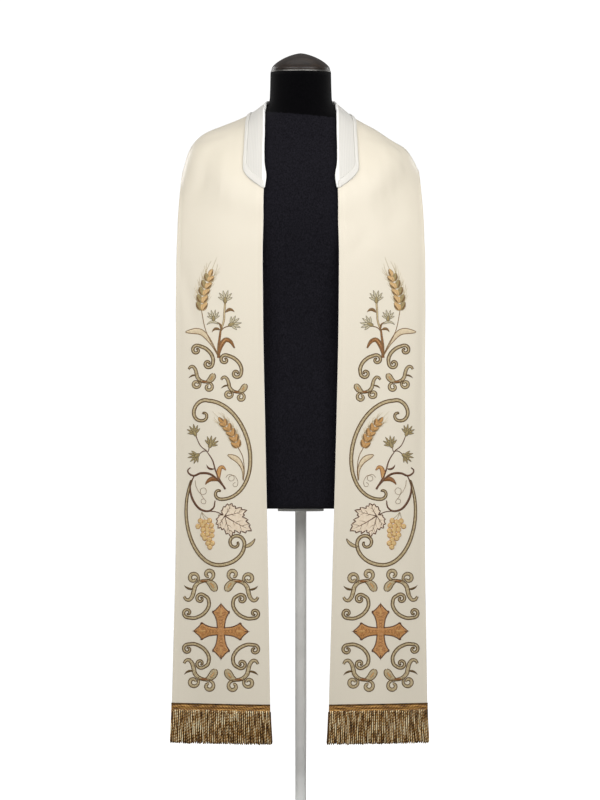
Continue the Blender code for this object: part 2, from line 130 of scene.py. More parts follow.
# One row for each section across one half, from the centre-back seam over the shoulder to the hem.
# The inner edge is the one beside the neck.  bow is how far the section bows out between its
# edges, and peak is the share of its width at which it bows the most.
Station = namedtuple("Station", "inner_x inner_y inner_z outer_x outer_y outer_z bow peak")
STATIONS = (
    Station(0, 77, 1466, 0, 122, 1312, 2, 0.50),              # centre back
    Station(37, 69, 1467, 77, 120, 1317, 4, 0.55),
    Station(60, 44, 1466, 149, 103, 1324, 7, 0.60),
    Station(66, 18, 1463, 203, 64, 1330, 9, 0.68),
    Station(65.5, -4, 1457, 226, 22, 1333, 10, 0.74),          # along the shoulder
    Station(67, -30, 1440, 231, -10, 1317, 10, 0.72),
    Station(69.5, -56, 1411, 234, -30, 1290, 10, 0.66),
    Station(71, -79, 1372, 237, -40, 1259, 9, 0.60),
    Station(71, -99, 1328, 239, -47, 1228, 9, 0.55),
    Station(71, -115, 1280, 240, -53, 1197, 8, 0.50),         # below the end of the collar strip
    Station(72, -124, 1230, 241.5, -57, 1165, 7, 0.50),       # over the chest
    Station(73.5, -128, 1170, 242, -60, 1122, 6, 0.50),
    Station(73, -130, 1080, 242.5, -64, 1050, 6, 0.50),
    Station(72, -131, 990, 242, -67, 975, 5, 0.50),
    Station(69, -131, 850, 242, -71, 843, 5, 0.50),
    Station(65.5, -130, 700, 241.5, -75, 698, 4, 0.50),
    Station(62, -128, 554, 242.5, -79, 554, 4, 0.50),
    Station(59.5, -126, 430, 245, -82, 432, 4, 0.50),
    Station(56, -124, 276.5, 248, -86, 278, 3, 0.50),           # hem
)
SHOULDER = 4               # the number of the section along the shoulder
HANGS_FROM = 10            # and of the one over the chest, below which a front hangs free
SHORT_STEP = 17.0          # the longest step between the solid's rows down to there
LONG_STEP = 45.0           # and below
COLLAR_COLUMNS = 3         # of the solid, under the collar strip
WIDE_COLUMNS = 7           # and beside it
RELAX_ROUNDS = 6
RELAX_PULL = 0.3           # how much of the way to its neighbours' middle a point goes in a round
PUFF_LENGTH = 75.0         # how far along the half the puff fades to each side of the shoulder
WAVE_SLANT = 0.35          # how much of their length the waves shift across on their way to the hem
CLEARANCE_SAMPLES = (0, 1 / 3, 2 / 3, 1)     # the shares of a face's sides where its clearance is tried

# Each half hangs in its own way.  puff is how far it stands off the shoulder, depth is the height
# of the long shallow waves that grow towards the hem, and drift moves the hem sideways.
Hang = namedtuple("Hang", "puff depth waves_across turn drift")
HANGS = {
    "left": Hang(1.0, 2.6, 1.15, 0.25, -2.0),
    "right": Hang(27.0, 3.2, 0.95, 0.60, 3.0),
}

ROW_STEP = 5.0             # finished fineness along the cloth
EDGE_SHARES = (0.0, 0.007, 0.015, 0.026, 0.040)     # and across it, closer at its edges
MIDDLE_COLUMNS = 44
EDGE_TURN = 9.0            # how far in from an edge the turned-in cloth under it ends
EDGE_TURN_HALF = 2.6       # half the width of the soft line that shows there
EDGE_TURN_DEPTH = 0.45
SLACK = 0.55               # height of the faint unevenness of lined cloth
SLACK_ACROSS = 60.0        # and its size across the cloth and along it
SLACK_ALONG = 150.0
SLACK_FROM_EDGE = 14.0     # closer to an edge there is less
SLACK_SEEDS = {"left": 3.0, "right": 11.0}
CREASE_CLEARANCE = 0.15    # how much closer to the form a crease may come than the cloth itself
CREASE_FADE = 0.25         # how far past its ends a crease fades out, as a share of its length

# Creases of each half.  A crease runs from one point to another, given as millimetres along the
# half from the centre back, and as a share of its width.  It rises by height, or sinks where that
# is negative, and half_width is how soft it is.
Crease = namedtuple("Crease", "along across to_along to_across height half_width")
CREASES = {
    "right": (
        Crease(290, 0.96, 420, 0.04, 0.6, 18),
        Crease(312, 0.72, 352, 0.46, 1.1, 17),
        Crease(202, 0.78, 230, 0.42, -2.4, 7),
        Crease(420, 0.98, 640, 0.70, -1.1, 13),
        Crease(520, 0.20, 760, 0.35, 0.8, 18),
        Crease(980, 0.75, 1290, 0.62, -0.9, 17),
        Crease(50, 0.95, 175, 0.55, -1.7, 14),
        Crease(115, 0.35, 220, 0.70, 1.0, 14),
        Crease(15, 0.30, 80, 0.92, -0.9, 11),
    ),
    "left": (
        Crease(252, 0.24, 228, 0.52, -1.5, 6),
        Crease(218, 0.52, 234, 0.78, -2.2, 7),
        Crease(300, 1.00, 420, 0.35, -0.4, 15),
        Crease(285, 0.95, 345, 0.70, 0.9, 17),
        Crease(345, 0.78, 425, 0.46, -0.8, 15),
        Crease(425, 0.38, 485, 0.10, -0.9, 13),
        Crease(450, 1.00, 900, 0.93, -1.3, 10),
        Crease(560, 0.30, 800, 0.22, 0.7, 18),
        Crease(1000, 0.28, 1310, 0.40, -0.9, 17),
        Crease(65, 0.75, 190, 0.62, -1.5, 14),
        Crease(140, 0.20, 215, 0.60, 1.0, 12),
        Crease(20, 0.60, 110, 0.96, -1.0, 12),
    ),
}

# ---- the washable collar strip -------------------------------------------------------------------
COLLAR_WIDTH = 45.0
COLLAR_CLOTH = 1.0
COLLAR_LIFT = 0.8          # of its inner side off the stole's face and lining
COLLAR_END_Z = 1290.0      # the height of its lower ends
COLLAR_LEG = 6.0           # how far it reaches down behind the stole's neck edge
FOLD_REACH = 1.2           # how far the fold stands past that edge
FOLD_BULGE = 4.5           # and how much farther close to its lower ends
BULGE_FROM_END = 24.0      # where it does so the most, and over about what length to each side
BULGE_HALF = 30.0 / math.sqrt(2)
FOLD_MARK = 5.0            # of the marks on its cloth are for the fold
CORNER_LENGTH = 64.0       # how far up the neck edge each rounded lower corner reaches
CORNER_POWER = 1.45        # and how full it is
ROUND_CORNER = 1.25        # how many times its length the edge round it is, about
FLAP_DROOP = 0.55          # how far the flap's outer edge comes down to the cloth
DROOP_WIDTH = 9.0          # over this width beside that edge
RIB_PITCH = 3.6            # cords of the pique are 1.1 apart, and drawn coarser to show
RIB_HEIGHT = 0.10
RIB_FADE_IN = 5.0          # they rise over this width beside the fold
RIB_FADE_OUT = 3.0         # and sink over this one beside the flap's outer edge
EDGING_WIDTH = 8.0         # the lace tape along the flap's outer edge
EDGING_LIFT = 0.15         # over the pique
EDGING_HEIGHT = 0.35
EDGING_RISE = 0.625        # of its width, over which it rises from its inner edge
EDGING_SUNK = 0.45         # how far its sewn inner edge sinks into the pique
EDGING_SEWN = 0.25         # of its width, over which it does
GROOVE_DEPTH = 0.35        # of its height, in a groove behind its points
GROOVE_AT = 0.62           # of its width
GROOVE_HALF = 0.12
EDGING_CLOTH = 0.5
EDGING_INSET = 1.2         # of the notches between its points, from the flap's own edge
POINT_PITCH = 4.2          # from one point of its toothed edge to the next
POINT_DEPTH = 1.5          # and how far they stand out
FLAP_COLUMNS = 50
TAPE_COLUMNS = 9
# How the strip's rows and the tape's follow the neck edge: their spacing on its straight part, how
# many come at once there, how many round the corner, and the share of the corner that they reach.
NeckRows = namedtuple("NeckRows", "step at_once corner_steps reach")
STRIP_ROWS = NeckRows(4.0, 1, 24, 0.965)
TAPE_ROWS = NeckRows(POINT_PITCH / 4, 4, 4 * round(CORNER_LENGTH * ROUND_CORNER / POINT_PITCH), 0.975)

# ---- the fringes ---------------------------------------------------------------------------------
HEADING_HEIGHT = 15.0
HEADING_FOOT = 0.8         # the cords show from this far above the hem
HEADING_LIFT = 0.45        # off the stole's face
HEADING_CLOTH = 1.5        # the height of its relief
HEADING_GROUND = 0.25      # how far over HEADING_LIFT its lowest threads are, as a share of its relief
HEADING_BACK = 0.6         # and its thickness, as another
HEADING_ROWS = 16
HEADING_COLUMNS = 210
CORD_SHARE = 0.25          # of the heading's height is each of its two cords
TOP_CORD_ROWS = 3          # of the heading are darker: painted shade along its top edge
GIMP_PITCH = 5.0           # from one turn of a heading cord to the next
STRANDS = 100              # places along the hem, by turns with one cord and with a front and a back one
STRAND_LENGTH = 64.5       # below the hem
STRAND_RINGS = 14
STRAND_SIDES = 6
STRAND_UNEVEN = 2.4        # how much some are shorter
BUNCH = 2.6                # how far the outer cords lean towards their neighbours
BUNCH_WIDTH = 6.5          # and about how wide a bunch of them is
FRINGE_FLARE = 3.5         # how far the outermost cords lean outward
STRAND_CURVE = 1.3         # a cord leans more and more on its way down
STRAND_SWAY = 0.9          # how far it winds to its sides
STRAND_SWAYS = 2.2         # half waves of that on its way down
STRAND_WANDER = 1.4        # how far it wanders to the front and back
STRAND_TIP = 0.3           # of its radius is left at its very end
BULLION, PAINTED_SHADE_CORD, GIMP = range(3)     # the fringe's finishes, in the order of its materials
# The three rows of cords: how far each lies over the cloth's face, its cords' radius, their finish,
# how far over the hem they start, and how much of BUNCH they lean.
CordRow = namedtuple("CordRow", "over_face radius finish over_hem lean")
FRONT_CORDS = CordRow(2.0, 1.2, BULLION, 2.3, 1)
# The middle row's dark finish is painted shade between the front and back rows.
MIDDLE_CORDS = CordRow(-0.4, 2.3, PAINTED_SHADE_CORD, 0.2, 0)
BACK_CORDS = CordRow(-3.0, 1.2, BULLION, 0.2, 1)

# ---- camera, light and floor ---------------------------------------------------------------------
CAMERA_AWAY = 12000.0
CAMERA_HEIGHT = 881.0      # of the picture's middle
CAMERA_ASIDE = -1.5
SEEN_HEIGHT = 1560.0       # what 800 rows of the picture cover
SEEN_AT = 40.0             # and how far in front of the form's middle they cover it
CAMERA_REACH = 80000.0     # nothing farther away is seen
SENSOR = 24.0


def mm(x, y, z):
    """A point given in millimetres, in metres."""
    return Vector((x, y, z)) * MM


# ---- materials -----------------------------------------------------------------------------------
def linear(code):
    """A six-digit sRGB hex colour as linear RGBA."""
    channels = []
    for k in (0, 2, 4):
        value = int(code[k:k + 2], 16) / 255
        channels.append(value / 12.92 if value <= 0.04045 else ((value + 0.055) / 1.055) ** 2.4)
    return (*channels, 1.0)


def add(tree, kind, settings=None, links=None):
    """Adds a node.  A lower-case setting is a property, any other is a socket, and stops fill a ramp."""
    node = tree.nodes.new("ShaderNode" + kind)
    for name, value in (settings or {}).items():
        if name == "stops":
            ends = node.color_ramp.elements[0], node.color_ramp.elements[1]
            for element, (position, code) in zip(ends, (value[0], value[-1])):
                element.position = position
                element.color = linear(code)
            for position, code in value[1:-1]:
                node.color_ramp.elements.new(position).color = linear(code)
        elif isinstance(name, str) and name[0].islower():
            setattr(node, name, value)
        else:
            node.inputs[name].default_value = value
    for name, output in (links or {}).items():
        tree.links.new(output, node.inputs[name])
    return node


def start(name, colour, sockets):
    """A material and its nodes, with the values that are even all over set on its shader."""
    made = bpy.data.materials.new(name)
    made.use_nodes = True
    made.diffuse_color = linear(colour)
    shader = made.node_tree.nodes["Principled BSDF"]
    shader.inputs["Base Color"].default_value = linear(colour)
    for socket, value in sockets.items():
        shader.inputs[socket].default_value = value
    return made, made.node_tree


def feed(tree, output, socket):
    """Links an output to one of the shader's sockets."""
    tree.links.new(output, tree.nodes["Principled BSDF"].inputs[socket])


def per(size):
    """How many patterns of a size in millimetres fit in a metre."""
    return 1 / (size * MM)


def on_cloth(tree):
    """Places on the cloth as cut: across it, and along it."""
    return add(tree, "UVMap", {"uv_map": "cloth"}).outputs["UV"]


def on_object(tree):
    return add(tree, "TexCoord").outputs["Object"]


def patches(tree, place, size, detail, **more):
    """Noise with patches of one size in millimetres, or of a size for each axis."""
    scale = 1.0
    if isinstance(size, tuple):
        stretch = [per(one) for one in size] + [1.0] * (3 - len(size))
        place = add(tree, "Mapping", {"Scale": stretch}, {"Vector": place}).outputs["Vector"]
    else:
        scale = per(size)
    settings = {"Scale": scale, "Detail": detail, **more}
    return add(tree, "TexNoise", settings, {"Vector": place}).outputs["Fac"]


def bands(tree, place, direction, pitch, wobble):
    """Waves with one band for each pitch in millimetres."""
    settings = {"bands_direction": direction, "Scale": math.pi / 10 * per(pitch), "Distortion": wobble}
    return add(tree, "TexWave", settings, {"Vector": place}).outputs["Fac"]


def more_of(tree, first, share, second):
    """A share of the first factor on top of the second."""
    return add(tree, "Math", {"operation": "MULTIPLY_ADD", 1: share}, {0: first, 2: second}).outputs["Value"]


def ramp(tree, factor, *stops):
    return add(tree, "ValToRGB", {"stops": stops}, {"Fac": factor}).outputs["Color"]


def tint(tree, factor, *stops):
    """Colours the surface by a factor: each stop is a value and its colour."""
    feed(tree, ramp(tree, factor, *stops), "Base Color")


def emboss(tree, height, strength, depth):
    """Gives the surface fine relief, with a depth in millimetres."""
    bump = add(tree, "Bump", {"Strength": strength, "Distance": depth * MM}, {"Height": height})
    feed(tree, bump.outputs["Normal"], "Normal")


def make_satin(name, dark, light):
    # Heavy polyester satin, woven with its warp floats down the stole and ironed.  The floats give
    # a soft glow that is longer across the cloth than along it, and slightly uneven yarns give
    # faint lengthwise streaks.  Yarns are 0.12 apart; the streaks are drawn 2 mm wide to show.
    made, tree = start(name, light, {
        "Roughness": 0.50, "Sheen Weight": 0.20, "Sheen Roughness": 0.45, "Specular IOR Level": 0.40,
    })
    cloth = on_cloth(tree)
    streaks = patches(tree, cloth, (2.0, 70), 3.0)
    clouds = patches(tree, cloth, (90, 160), 2.0)
    tint(tree, more_of(tree, streaks, 0.45, clouds), (0.50, dark), (0.90, light))
    emboss(tree, patches(tree, cloth, (1.1, 9), 2.0), 0.25, 0.15)
    return made


def make_lining():
    # Acetate lining in plain weave, pressed: thinner and a little shinier than the face, with a
    # crossed yarn texture.  Yarns are 0.2 apart and drawn 1.4 apart to show.
    made, tree = start("acetate_lining_plain_weave", "e9e1cf", {
        "Roughness": 0.42, "Sheen Weight": 0.10, "Specular IOR Level": 0.40,
    })
    cloth = on_cloth(tree)
    warp, weft = [bands(tree, cloth, way, 1.4, 0.6) for way in "XY"]
    woven = add(tree, "Math", {"operation": "MULTIPLY"}, {0: warp, 1: weft}).outputs["Value"]
    tint(tree, woven, (0.0, "ddd4c1"), (1.0, "eee6d5"))
    emboss(tree, woven, 0.25, 0.12)
    return made


def make_pique():
    # Bleached cotton pique, laundered: matt, cool white, with fine cords along the strip and slightly
    # grey painted shade between them, and a painted highlight, a smooth whiter band, along the fold.
    # The cords are modelled; the yarns across them are bump.
    made, tree = start("bleached_cotton_pique", "e9e8e4", {
        "Roughness": 0.85, "Sheen Weight": 0.15, "Sheen Roughness": 0.6, "Specular IOR Level": 0.30,
    })
    cloth = on_cloth(tree)
    # Painted shade: the colour darkens in bands at the cords' pitch, between the modelled cords.
    tone = ramp(tree, bands(tree, cloth, "X", RIB_PITCH, 0.3), (0.0, "d0cdc6"), (0.7, "d8d5ce"))
    # Painted highlight: the leg, the fold and the flap's first 2 to 3 mm are painted whiter.
    across = add(tree, "SeparateXYZ", None, {"Vector": cloth})
    fold_highlight_mask = add(tree, "MapRange", {"From Min": 2.2 * MM, "From Max": 3.0 * MM, "To Min": 1.0, "To Max": 0.0},
                {"Value": across.outputs["X"]})
    white = {"data_type": "RGBA", 7: linear("f8f7f3")}
    feed(tree, add(tree, "Mix", white, {0: fold_highlight_mask.outputs["Result"], 6: tone}).outputs[2], "Base Color")
    emboss(tree, patches(tree, cloth, (1.2, 0.9), 2.0), 0.3, 0.2)
    return made


def make_lace_tape():
    # Cotton lace tape, loom-made and pressed flat: brighter than the pique, with an open ground
    # that shows as small soft pits 2 mm apart.
    made, tree = start("cotton_lace_tape", "f2f0ec", {
        "Roughness": 0.85, "Sheen Weight": 0.15, "Specular IOR Level": 0.30,
    })
    ground = add(tree, "TexVoronoi", {"Scale": per(2.0), "Randomness": 0.25}, {"Vector": on_cloth(tree)})
    pits = ground.outputs["Distance"]
    tint(tree, pits, (0.1, "cfcbc3"), (0.5, "e0ddd6"))
    emboss(tree, pits, 0.4, 0.3)
    return made


# Embroidery threads: the deep tone of each, painted in the gaps between stitches as shade, and its bright
# tone, painted on their crowns as highlight.
Thread = namedtuple("Thread", "deep bright")
THREADS = {
    "beige": Thread("97825a", "cfbd96"),
    "brown": Thread("3f2c0a", "6e5224"),
    "gold": Thread("b98c50", "e2bf88"),
    "umber": Thread("5a3d1c", "8c6a3a"),
    "straw": Thread("bfa97c", "e0cfa6"),
    "sage": Thread("a69d80", "dbd0b2"),
    "moss": Thread("4c412a", "75674a"),
    "olive": Thread("78663c", "b3a06e"),
    "rust": Thread("6a3c17", "a06a33"),
    "peach": Thread("cbb490", "e2d1b0"),
    "ochre": Thread("a8763a", "d6a565"),
    "taupe": Thread("7c6a50", "a8956f"),
    "vine": Thread("402310", "6b4323"),
    "grape": Thread("bd9554", "e3c58c"),
    "cream": Thread("dcc6a8", "efdfc8"),
    "amber": Thread("9c642c", "d39a5c"),
}
STITCH_PITCH = 1.0         # stitches lie 0.35 apart, and are drawn 1.0 apart to show


def make_thread(name, thread):
    # Rayon embroidery thread in machine satin stitch: every stitch lies across the shape, glossy
    # on its crown, with the colour painted lighter on each crown as a painted highlight and darker in
    # the gaps as painted shade, so that a filled shape is finely striped.
    made, tree = start(f"rayon_thread_{name}", thread.bright, {
        "Roughness": 0.42, "Specular IOR Level": 0.45, "Sheen Weight": 0.12,
    })
    cloth = on_cloth(tree)
    stitches = bands(tree, cloth, "Y", STITCH_PITCH, 0.9)
    shade = more_of(tree, stitches, 0.5, patches(tree, cloth, 5.0, 2.0))
    # Painted shade and highlight: the stitch bands run the colour from the deep tone in the gaps to the
    # bright tone on the crowns.
    tint(tree, shade, (0.45, thread.deep), (0.95, thread.bright))
    emboss(tree, stitches, 0.5, 0.3)
    return made


PLY_PITCH = 3.0            # across a turn of the plies, which is 1.2, drawn coarser to show
# The tones run from near-black painted shade to near-white painted highlight, with the cords' own gold
# between.
CORD_TONES = ((0.62, "1c1008"), (0.70, "6d471b"), (0.76, "ae7a38"), (0.83, "e2b873"), (0.91, "fff0c8"))
GIMP_TONES = ((0.60, "4c2f10"), (0.76, "875c26"), (0.92, "ba8c48"))


def make_bullion(name, stops):
    # Antique-gold bullion: one lurex and one viscose ply twisted hard into cords.  Small flecks of
    # painted highlight stand for the lurex's glints at each turn, the darkest tones are painted shade,
    # and no two cords have quite one tone.
    made, tree = start(name, "8d6e42", {"Roughness": 0.42, "Metallic": 0.30, "Specular IOR Level": 0.40})
    cloth = on_cloth(tree)
    plies = bands(tree, cloth, "DIAGONAL", PLY_PITCH, 1.5)
    turned = more_of(tree, plies, 0.14, patches(tree, cloth, (2.6, 26), 1.0))
    # Painted highlight: the small flecks push the colour up the tones towards their near-white top.
    tint(tree, more_of(tree, patches(tree, cloth, 1.8, 1.0), 0.45, turned), *stops)
    emboss(tree, plies, 0.6, 0.5)
    return made


def make_painted_shade_cord():
    # Brown cord, twisted like the bullion but without its metal ply: dull, and dark as painted shade,
    # so that the fringe has depth between its bright front and back rows, and the heading a shaded
    # line along its top.
    made, tree = start("brown_cord_painted_shade", "4a3519", {"Roughness": 0.75, "Specular IOR Level": 0.2})
    cords = patches(tree, on_cloth(tree), (3.4, 14), 2.0)
    tint(tree, cords, (0.35, "1a0f06"), (0.65, "6b4c27"))
    emboss(tree, cords, 0.5, 0.4)
    return made


def make_jersey(name, deep, bright, specular):
    # Cotton jersey, knitted fine and stretched over padding: matt and nearly black, with upright
    # rows of stitches that lift it slightly towards grey.  Rows are 0.9 apart, drawn 2.2 apart.
    made, tree = start(name, bright, {
        "Roughness": 0.92, "Specular IOR Level": specular, "Sheen Weight": 0.06, "Sheen Roughness": 0.5,
    })
    knit = patches(tree, on_object(tree), (2.2, 2.2, 3.2), 3.0)
    tint(tree, knit, (0.35, deep), (0.70, bright))
    emboss(tree, knit, 0.35, 0.4)
    return made


def make_walnut():
    # Walnut, turned on a lathe, stained dark and waxed: a low gloss over brown-black wood with
    # fine long grain running across the cap.
    made, tree = start("turned_walnut_waxed", "3a332d", {
        "Roughness": 0.42, "Coat Weight": 0.15, "Coat Roughness": 0.3,
    })
    figure = patches(tree, on_object(tree), (60, 5, 5), 6.0, Roughness=0.6)
    tint(tree, figure, (0.30, "120c08"), (0.55, "261b13"), (0.75, "3a2c20"))
    emboss(tree, figure, 0.15, 0.3)
    return made


def make_steel():
    # Steel band, nickel-plated and worn dull: a grey line with soft lights and fine scratches round it.
    made, tree = start("dull_nickel_plated_band", "6f6d6a", {"Roughness": 0.45, "Metallic": 1.0})
    scratches = patches(tree, on_object(tree), (40, 40, 0.5), 3.0)
    gloss = add(tree, "MapRange", {"To Min": 0.38, "To Max": 0.52}, {"Value": scratches})
    feed(tree, gloss.outputs["Result"], "Roughness")
    return made


def make_lacquer():
    # Steel, powder-coated white: an even satin film with the faint orange peel of baked powder,
    # about 1.5 mm from bump to bump, and a touch of grey where dust settles.
    made, tree = start("powder_coated_steel_white", "eeeeec", {"Roughness": 0.38, "IOR": 1.5})
    place = on_object(tree)
    emboss(tree, patches(tree, place, 1.5, 1.0), 0.08, 0.1)
    tint(tree, patches(tree, place, 60, 3.0), (0.35, "e4e4e1"), (0.65, "f2f2f0"))
    return made


def make_paper():
    # Seamless background paper, white and lit from behind by its own strip lights.
    made, _ = start("seamless_paper_white", "f7f7f6", {
        "Roughness": 0.9, "Emission Color": (1, 1, 1, 1), "Emission Strength": 0.86,
    })
    return made


# ---- curves through rows of numbers --------------------------------------------------------------
def running_total(items, measure):
    """How far along each item lies, by the distance that measure gives between neighbours."""
    along = [0.0]
    for before, after in zip(items, items[1:]):
        along.append(along[-1] + measure(before, after))
    return along


def span_of(along, place):
    """The number of the span that holds a place, and the share of it that lies before the place."""
    k = bisect.bisect_right(along, place) - 1
    k = max(0, min(len(along) - 2, k))
    return k, (place - along[k]) / (along[k + 1] - along[k])


def read_between(along, rows, place):
    """The row at a place between the given rows, on a cubic that runs smoothly through them."""
    last = len(rows) - 1
    k, share = span_of(along, place)
    span = along[k + 1] - along[k]
    square, cube = share ** 2, share ** 3

    def slope(j, column):
        low, high = max(0, j - 1), min(last, j + 1)
        return (rows[high][column] - rows[low][column]) / (along[high] - along[low])

    return [
        (2 * cube - 3 * square + 1) * rows[k][c]
        + (cube - 2 * square + share) * span * slope(k, c)
        + (3 * square - 2 * cube) * rows[k + 1][c]
        + (cube - square) * span * slope(k + 1, c)
        for c in range(len(rows[0]))
    ]


def places_between(along, longest):
    """Every row's place, with even steps added so that none is over the longest of its span."""
    places = [along[0]]
    for start_at, end_at, step in zip(along, along[1:], longest):
        count = max(1, math.ceil((end_at - start_at) / step))
        places += [start_at + (end_at - start_at) * (i + 1) / count for i in range(count)]
    return places


def gap(a, b):
    return (Vector(b) - Vector(a)).length


def bell(place, middle, half_width):
    """A smooth hump that is 1 in its middle and fades on both sides."""
    return math.exp(-((place - middle) / half_width) ** 2)


# ---- meshes --------------------------------------------------------------------------------------
def lay_grid(bm, rows, marks, finish=0):
    """Adds a grid bent through rows of points in millimetres.  marks are the points' places on the cloth."""
    grid = bmesh.ops.create_grid(bm, x_segments=len(rows[0]) - 1, y_segments=len(rows) - 1)
    uv = bm.loops.layers.uv.get("cloth") or bm.loops.layers.uv.new("cloth")
    spots = {}
    for vert, point, mark in zip(grid["verts"], itertools.chain(*rows), itertools.chain(*marks)):
        vert.co = point * MM
        spots[vert] = Vector(mark) * MM
    faces = list(dict.fromkeys(face for vert in grid["verts"] for face in vert.link_faces))
    for face in faces:
        face.smooth = True
        face.material_index = finish
        face.normal_update()
        for loop in face.loops:
            loop[uv].uv = spots[loop.vert]
    return faces


def turned(profile, steps, middle_y=0.0):
    """An outline turned round an upright line."""
    bm = bmesh.new()
    outline = [bm.verts.new(mm(radius, middle_y, z)) for radius, z in profile]
    for pair in zip(outline, outline[1:]):
        bm.edges.new(pair)
    bmesh.ops.spin(
        bm, geom=bm.verts[:] + bm.edges[:], cent=mm(0, middle_y, 0), axis=(0, 0, 1),
        angle=2 * math.pi, steps=steps, use_merge=True,
    )
    bmesh.ops.remove_doubles(bm, verts=bm.verts, dist=WELD)
    bmesh.ops.dissolve_degenerate(bm, edges=bm.edges, dist=WELD / 10)
    bmesh.ops.recalc_face_normals(bm, faces=bm.faces)
    for face in bm.faces:
        face.smooth = True
    return bm


def stand_up(name, data):
    """Puts a mesh, lamp or camera in the scene as an object."""
    obj = bpy.data.objects.new(name, data)
    bpy.context.scene.collection.objects.link(obj)
    return obj


def made_of(name, bm, materials):
    """The bmesh as an object with its materials."""
    mesh = bpy.data.meshes.new(name)
    bm.to_mesh(mesh)
    bm.free()
    for material in materials:
        mesh.materials.append(material)
    return stand_up(name, mesh)


def finished(name, bm, materials, node=None):
    """The bmesh as a named piece on the form's one body, in place of a node if there is one."""
    obj = made_of(name, bm, materials)
    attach(obj, "root")
    if node:
        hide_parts(node)
    return obj


def thicken(sheet, thickness, offset=1, even=True):
    """Gives a sheet its thickness in millimetres, on the side that offset says."""
    wall = sheet.modifiers.new("Thickness", "SOLIDIFY")
    wall.thickness = thickness * MM
    wall.offset = offset
    wall.use_even_offset = even
    return wall


def soften(piece, radius, segments, sharpest):
    """Rounds the edges that turn by more than an angle in degrees."""
    edge = piece.modifiers.new("Soft edges", "BEVEL")
    edge.width = radius * MM
    edge.segments = segments
    edge.limit_method = "ANGLE"
    edge.angle_limit = math.radians(sharpest)


# ---- drawing the embroidery --------------------------------------------------------------------
# A place on a front is a complex number: millimetres out from the middle of the body, and
# millimetres above the floor times 1j.  A path is a list of places, and a direction is a place
# at a distance of 1.  Angles are degrees, and turns are positive to the left.
DRAWN_SCALE = 0.9945       # the fronts slope back a little, so a flat drawing hangs this much smaller
CORD_HEIGHT = 1.0          # how far a corded line stands off the cloth
CURL_STEPS = 22            # to a full turn
CURL_TIGHTENS = 0.82       # how much of its radius a curl loses on its way to its eye
STITCH_COLUMNS = 6         # of the mesh, across a stroke
STITCH_SUNK = 0.12         # how far a stroke's own edges lie under the cloth's face
SLIM_HALF = 1.2            # a stroke slimmer than this on each side is also lower
SLIM_HEIGHT = 0.8
FIELD_ROWS = 6             # of the mesh, from a field's heart to its edge
FIELD_HEART = 0.02         # how close to the heart the first of them lies, as a share of the way
FIELD_SUNK = 0.05          # how far a field's edge lies under the cloth's face
BEFORE_FRONTS = -400.0     # a y in front of all the cloth
ON_FRONTS = -110.0         # a y close to the fronts' own, to find the cloth from where none is behind
THREAD_NAMES = list(THREADS)


def toward(degrees):
    """The direction at an angle.  Times another direction, it turns that one by the angle."""
    return cmath.exp(1j * math.radians(degrees))


def curl(start, heading, radius, turn, tightens=CURL_TIGHTENS):
    """A curl that leaves a place at a heading and tightens to its eye."""
    count = max(4, round(abs(turn) / 360 * CURL_STEPS))
    each = math.radians(turn) / count
    heading = math.radians(heading)
    places = [start]
    for step in range(count):
        left = radius * (1 - tightens * (step + 0.5) / count)
        heading += each / 2
        places.append(places[-1] + cmath.exp(1j * heading) * left * abs(each))
        heading += each / 2
    return places


def curled(arc, first, last):
    """An arc with a curl at each end, given as its radius and its turn along the arc's own bend."""
    opening, closing = arc[1] - arc[0], arc[-1] - arc[-2]
    middle = arc[len(arc) // 2]
    bend = math.copysign(1, ((middle - arc[0]).conjugate() * (arc[-1] - middle)).imag)
    before = curl(arc[0], math.degrees(cmath.phase(-opening)), first[0], -bend * first[1])
    after = curl(arc[-1], math.degrees(cmath.phase(closing)), last[0], bend * last[1])
    return before[:0:-1] + arc + after[1:]


def oval(centre, half_width, half_height, start, end, lean=0, steps=40):
    """Part of an ellipse, from one angle to another.  Its top leans outward by lean, and its foot inward."""
    angles = [math.radians(start + (end - start) * k / steps) for k in range(steps + 1)]
    return [
        centre + complex(half_width * math.cos(angle) + lean * math.sin(angle), half_height * math.sin(angle))
        for angle in angles
    ]


def bent(start, end, bow, steps=12):
    """A path that bows to its left by a share of its length."""
    places = []
    for step in range(steps + 1):
        at = step / steps
        places.append(start + (end - start) * (at + 4j * bow * at * (1 - at)))
    return places


def through(*places, steps=6):
    """A smooth path through a few places."""
    rows = [(place.real, place.imag) for place in places]
    along = running_total(places, lambda a, b: abs(b - a))
    count = steps * (len(places) - 1)
    return [complex(*read_between(along, rows, along[-1] * k / count)) for k in range(count + 1)]


def along_path(path, share):
    """The place and the direction at a share of a path's points."""
    k = min(len(path) - 2, int(share * (len(path) - 1)))
    step = path[k + 1] - path[k]
    return path[k] + step * (share * (len(path) - 1) - k), step / abs(step)


def sides_of(path, width, shape):
    """Each place of a path, the direction to its left, and how far a stroke reaches to either side."""
    for k, place in enumerate(path):
        at = k / (len(path) - 1)
        _, ahead = along_path(path, at)
        yield place, ahead * 1j, shape(at) * width / 2


# The shapes of strokes: their width, as a share of the widest, at a share of their length.
def even(at):
    return 1.0


def swelling(at):
    return 0.45 + 0.55 * math.sin(math.pi * at) ** 0.8


def tapering(at):
    return max(0.12, (1 - at) ** 0.7)


def tapering_stem(at):
    return 1 - 0.55 * at


def leaf(at):
    return 0.06 + 0.94 * math.sin(math.pi * min(1, at ** 0.8)) ** 0.85


def late_leaf(at):
    return 0.14 + 0.86 * math.sin(math.pi * at ** 2.1) ** 0.9


def grain(at):
    return max(0.05, math.sin(math.pi * at ** 0.75)) ** 0.6


def disc(at):
    return max(0.02, 1 - (2 * at - 1) ** 2) ** 0.5


def lobe(at):
    grown = 0.40 + 0.60 * math.sin(math.pi / 2 * min(1, at / 0.68))
    return grown * max(0.03, 1 - (max(0, at - 0.68) / 0.32) ** 2) ** 0.5


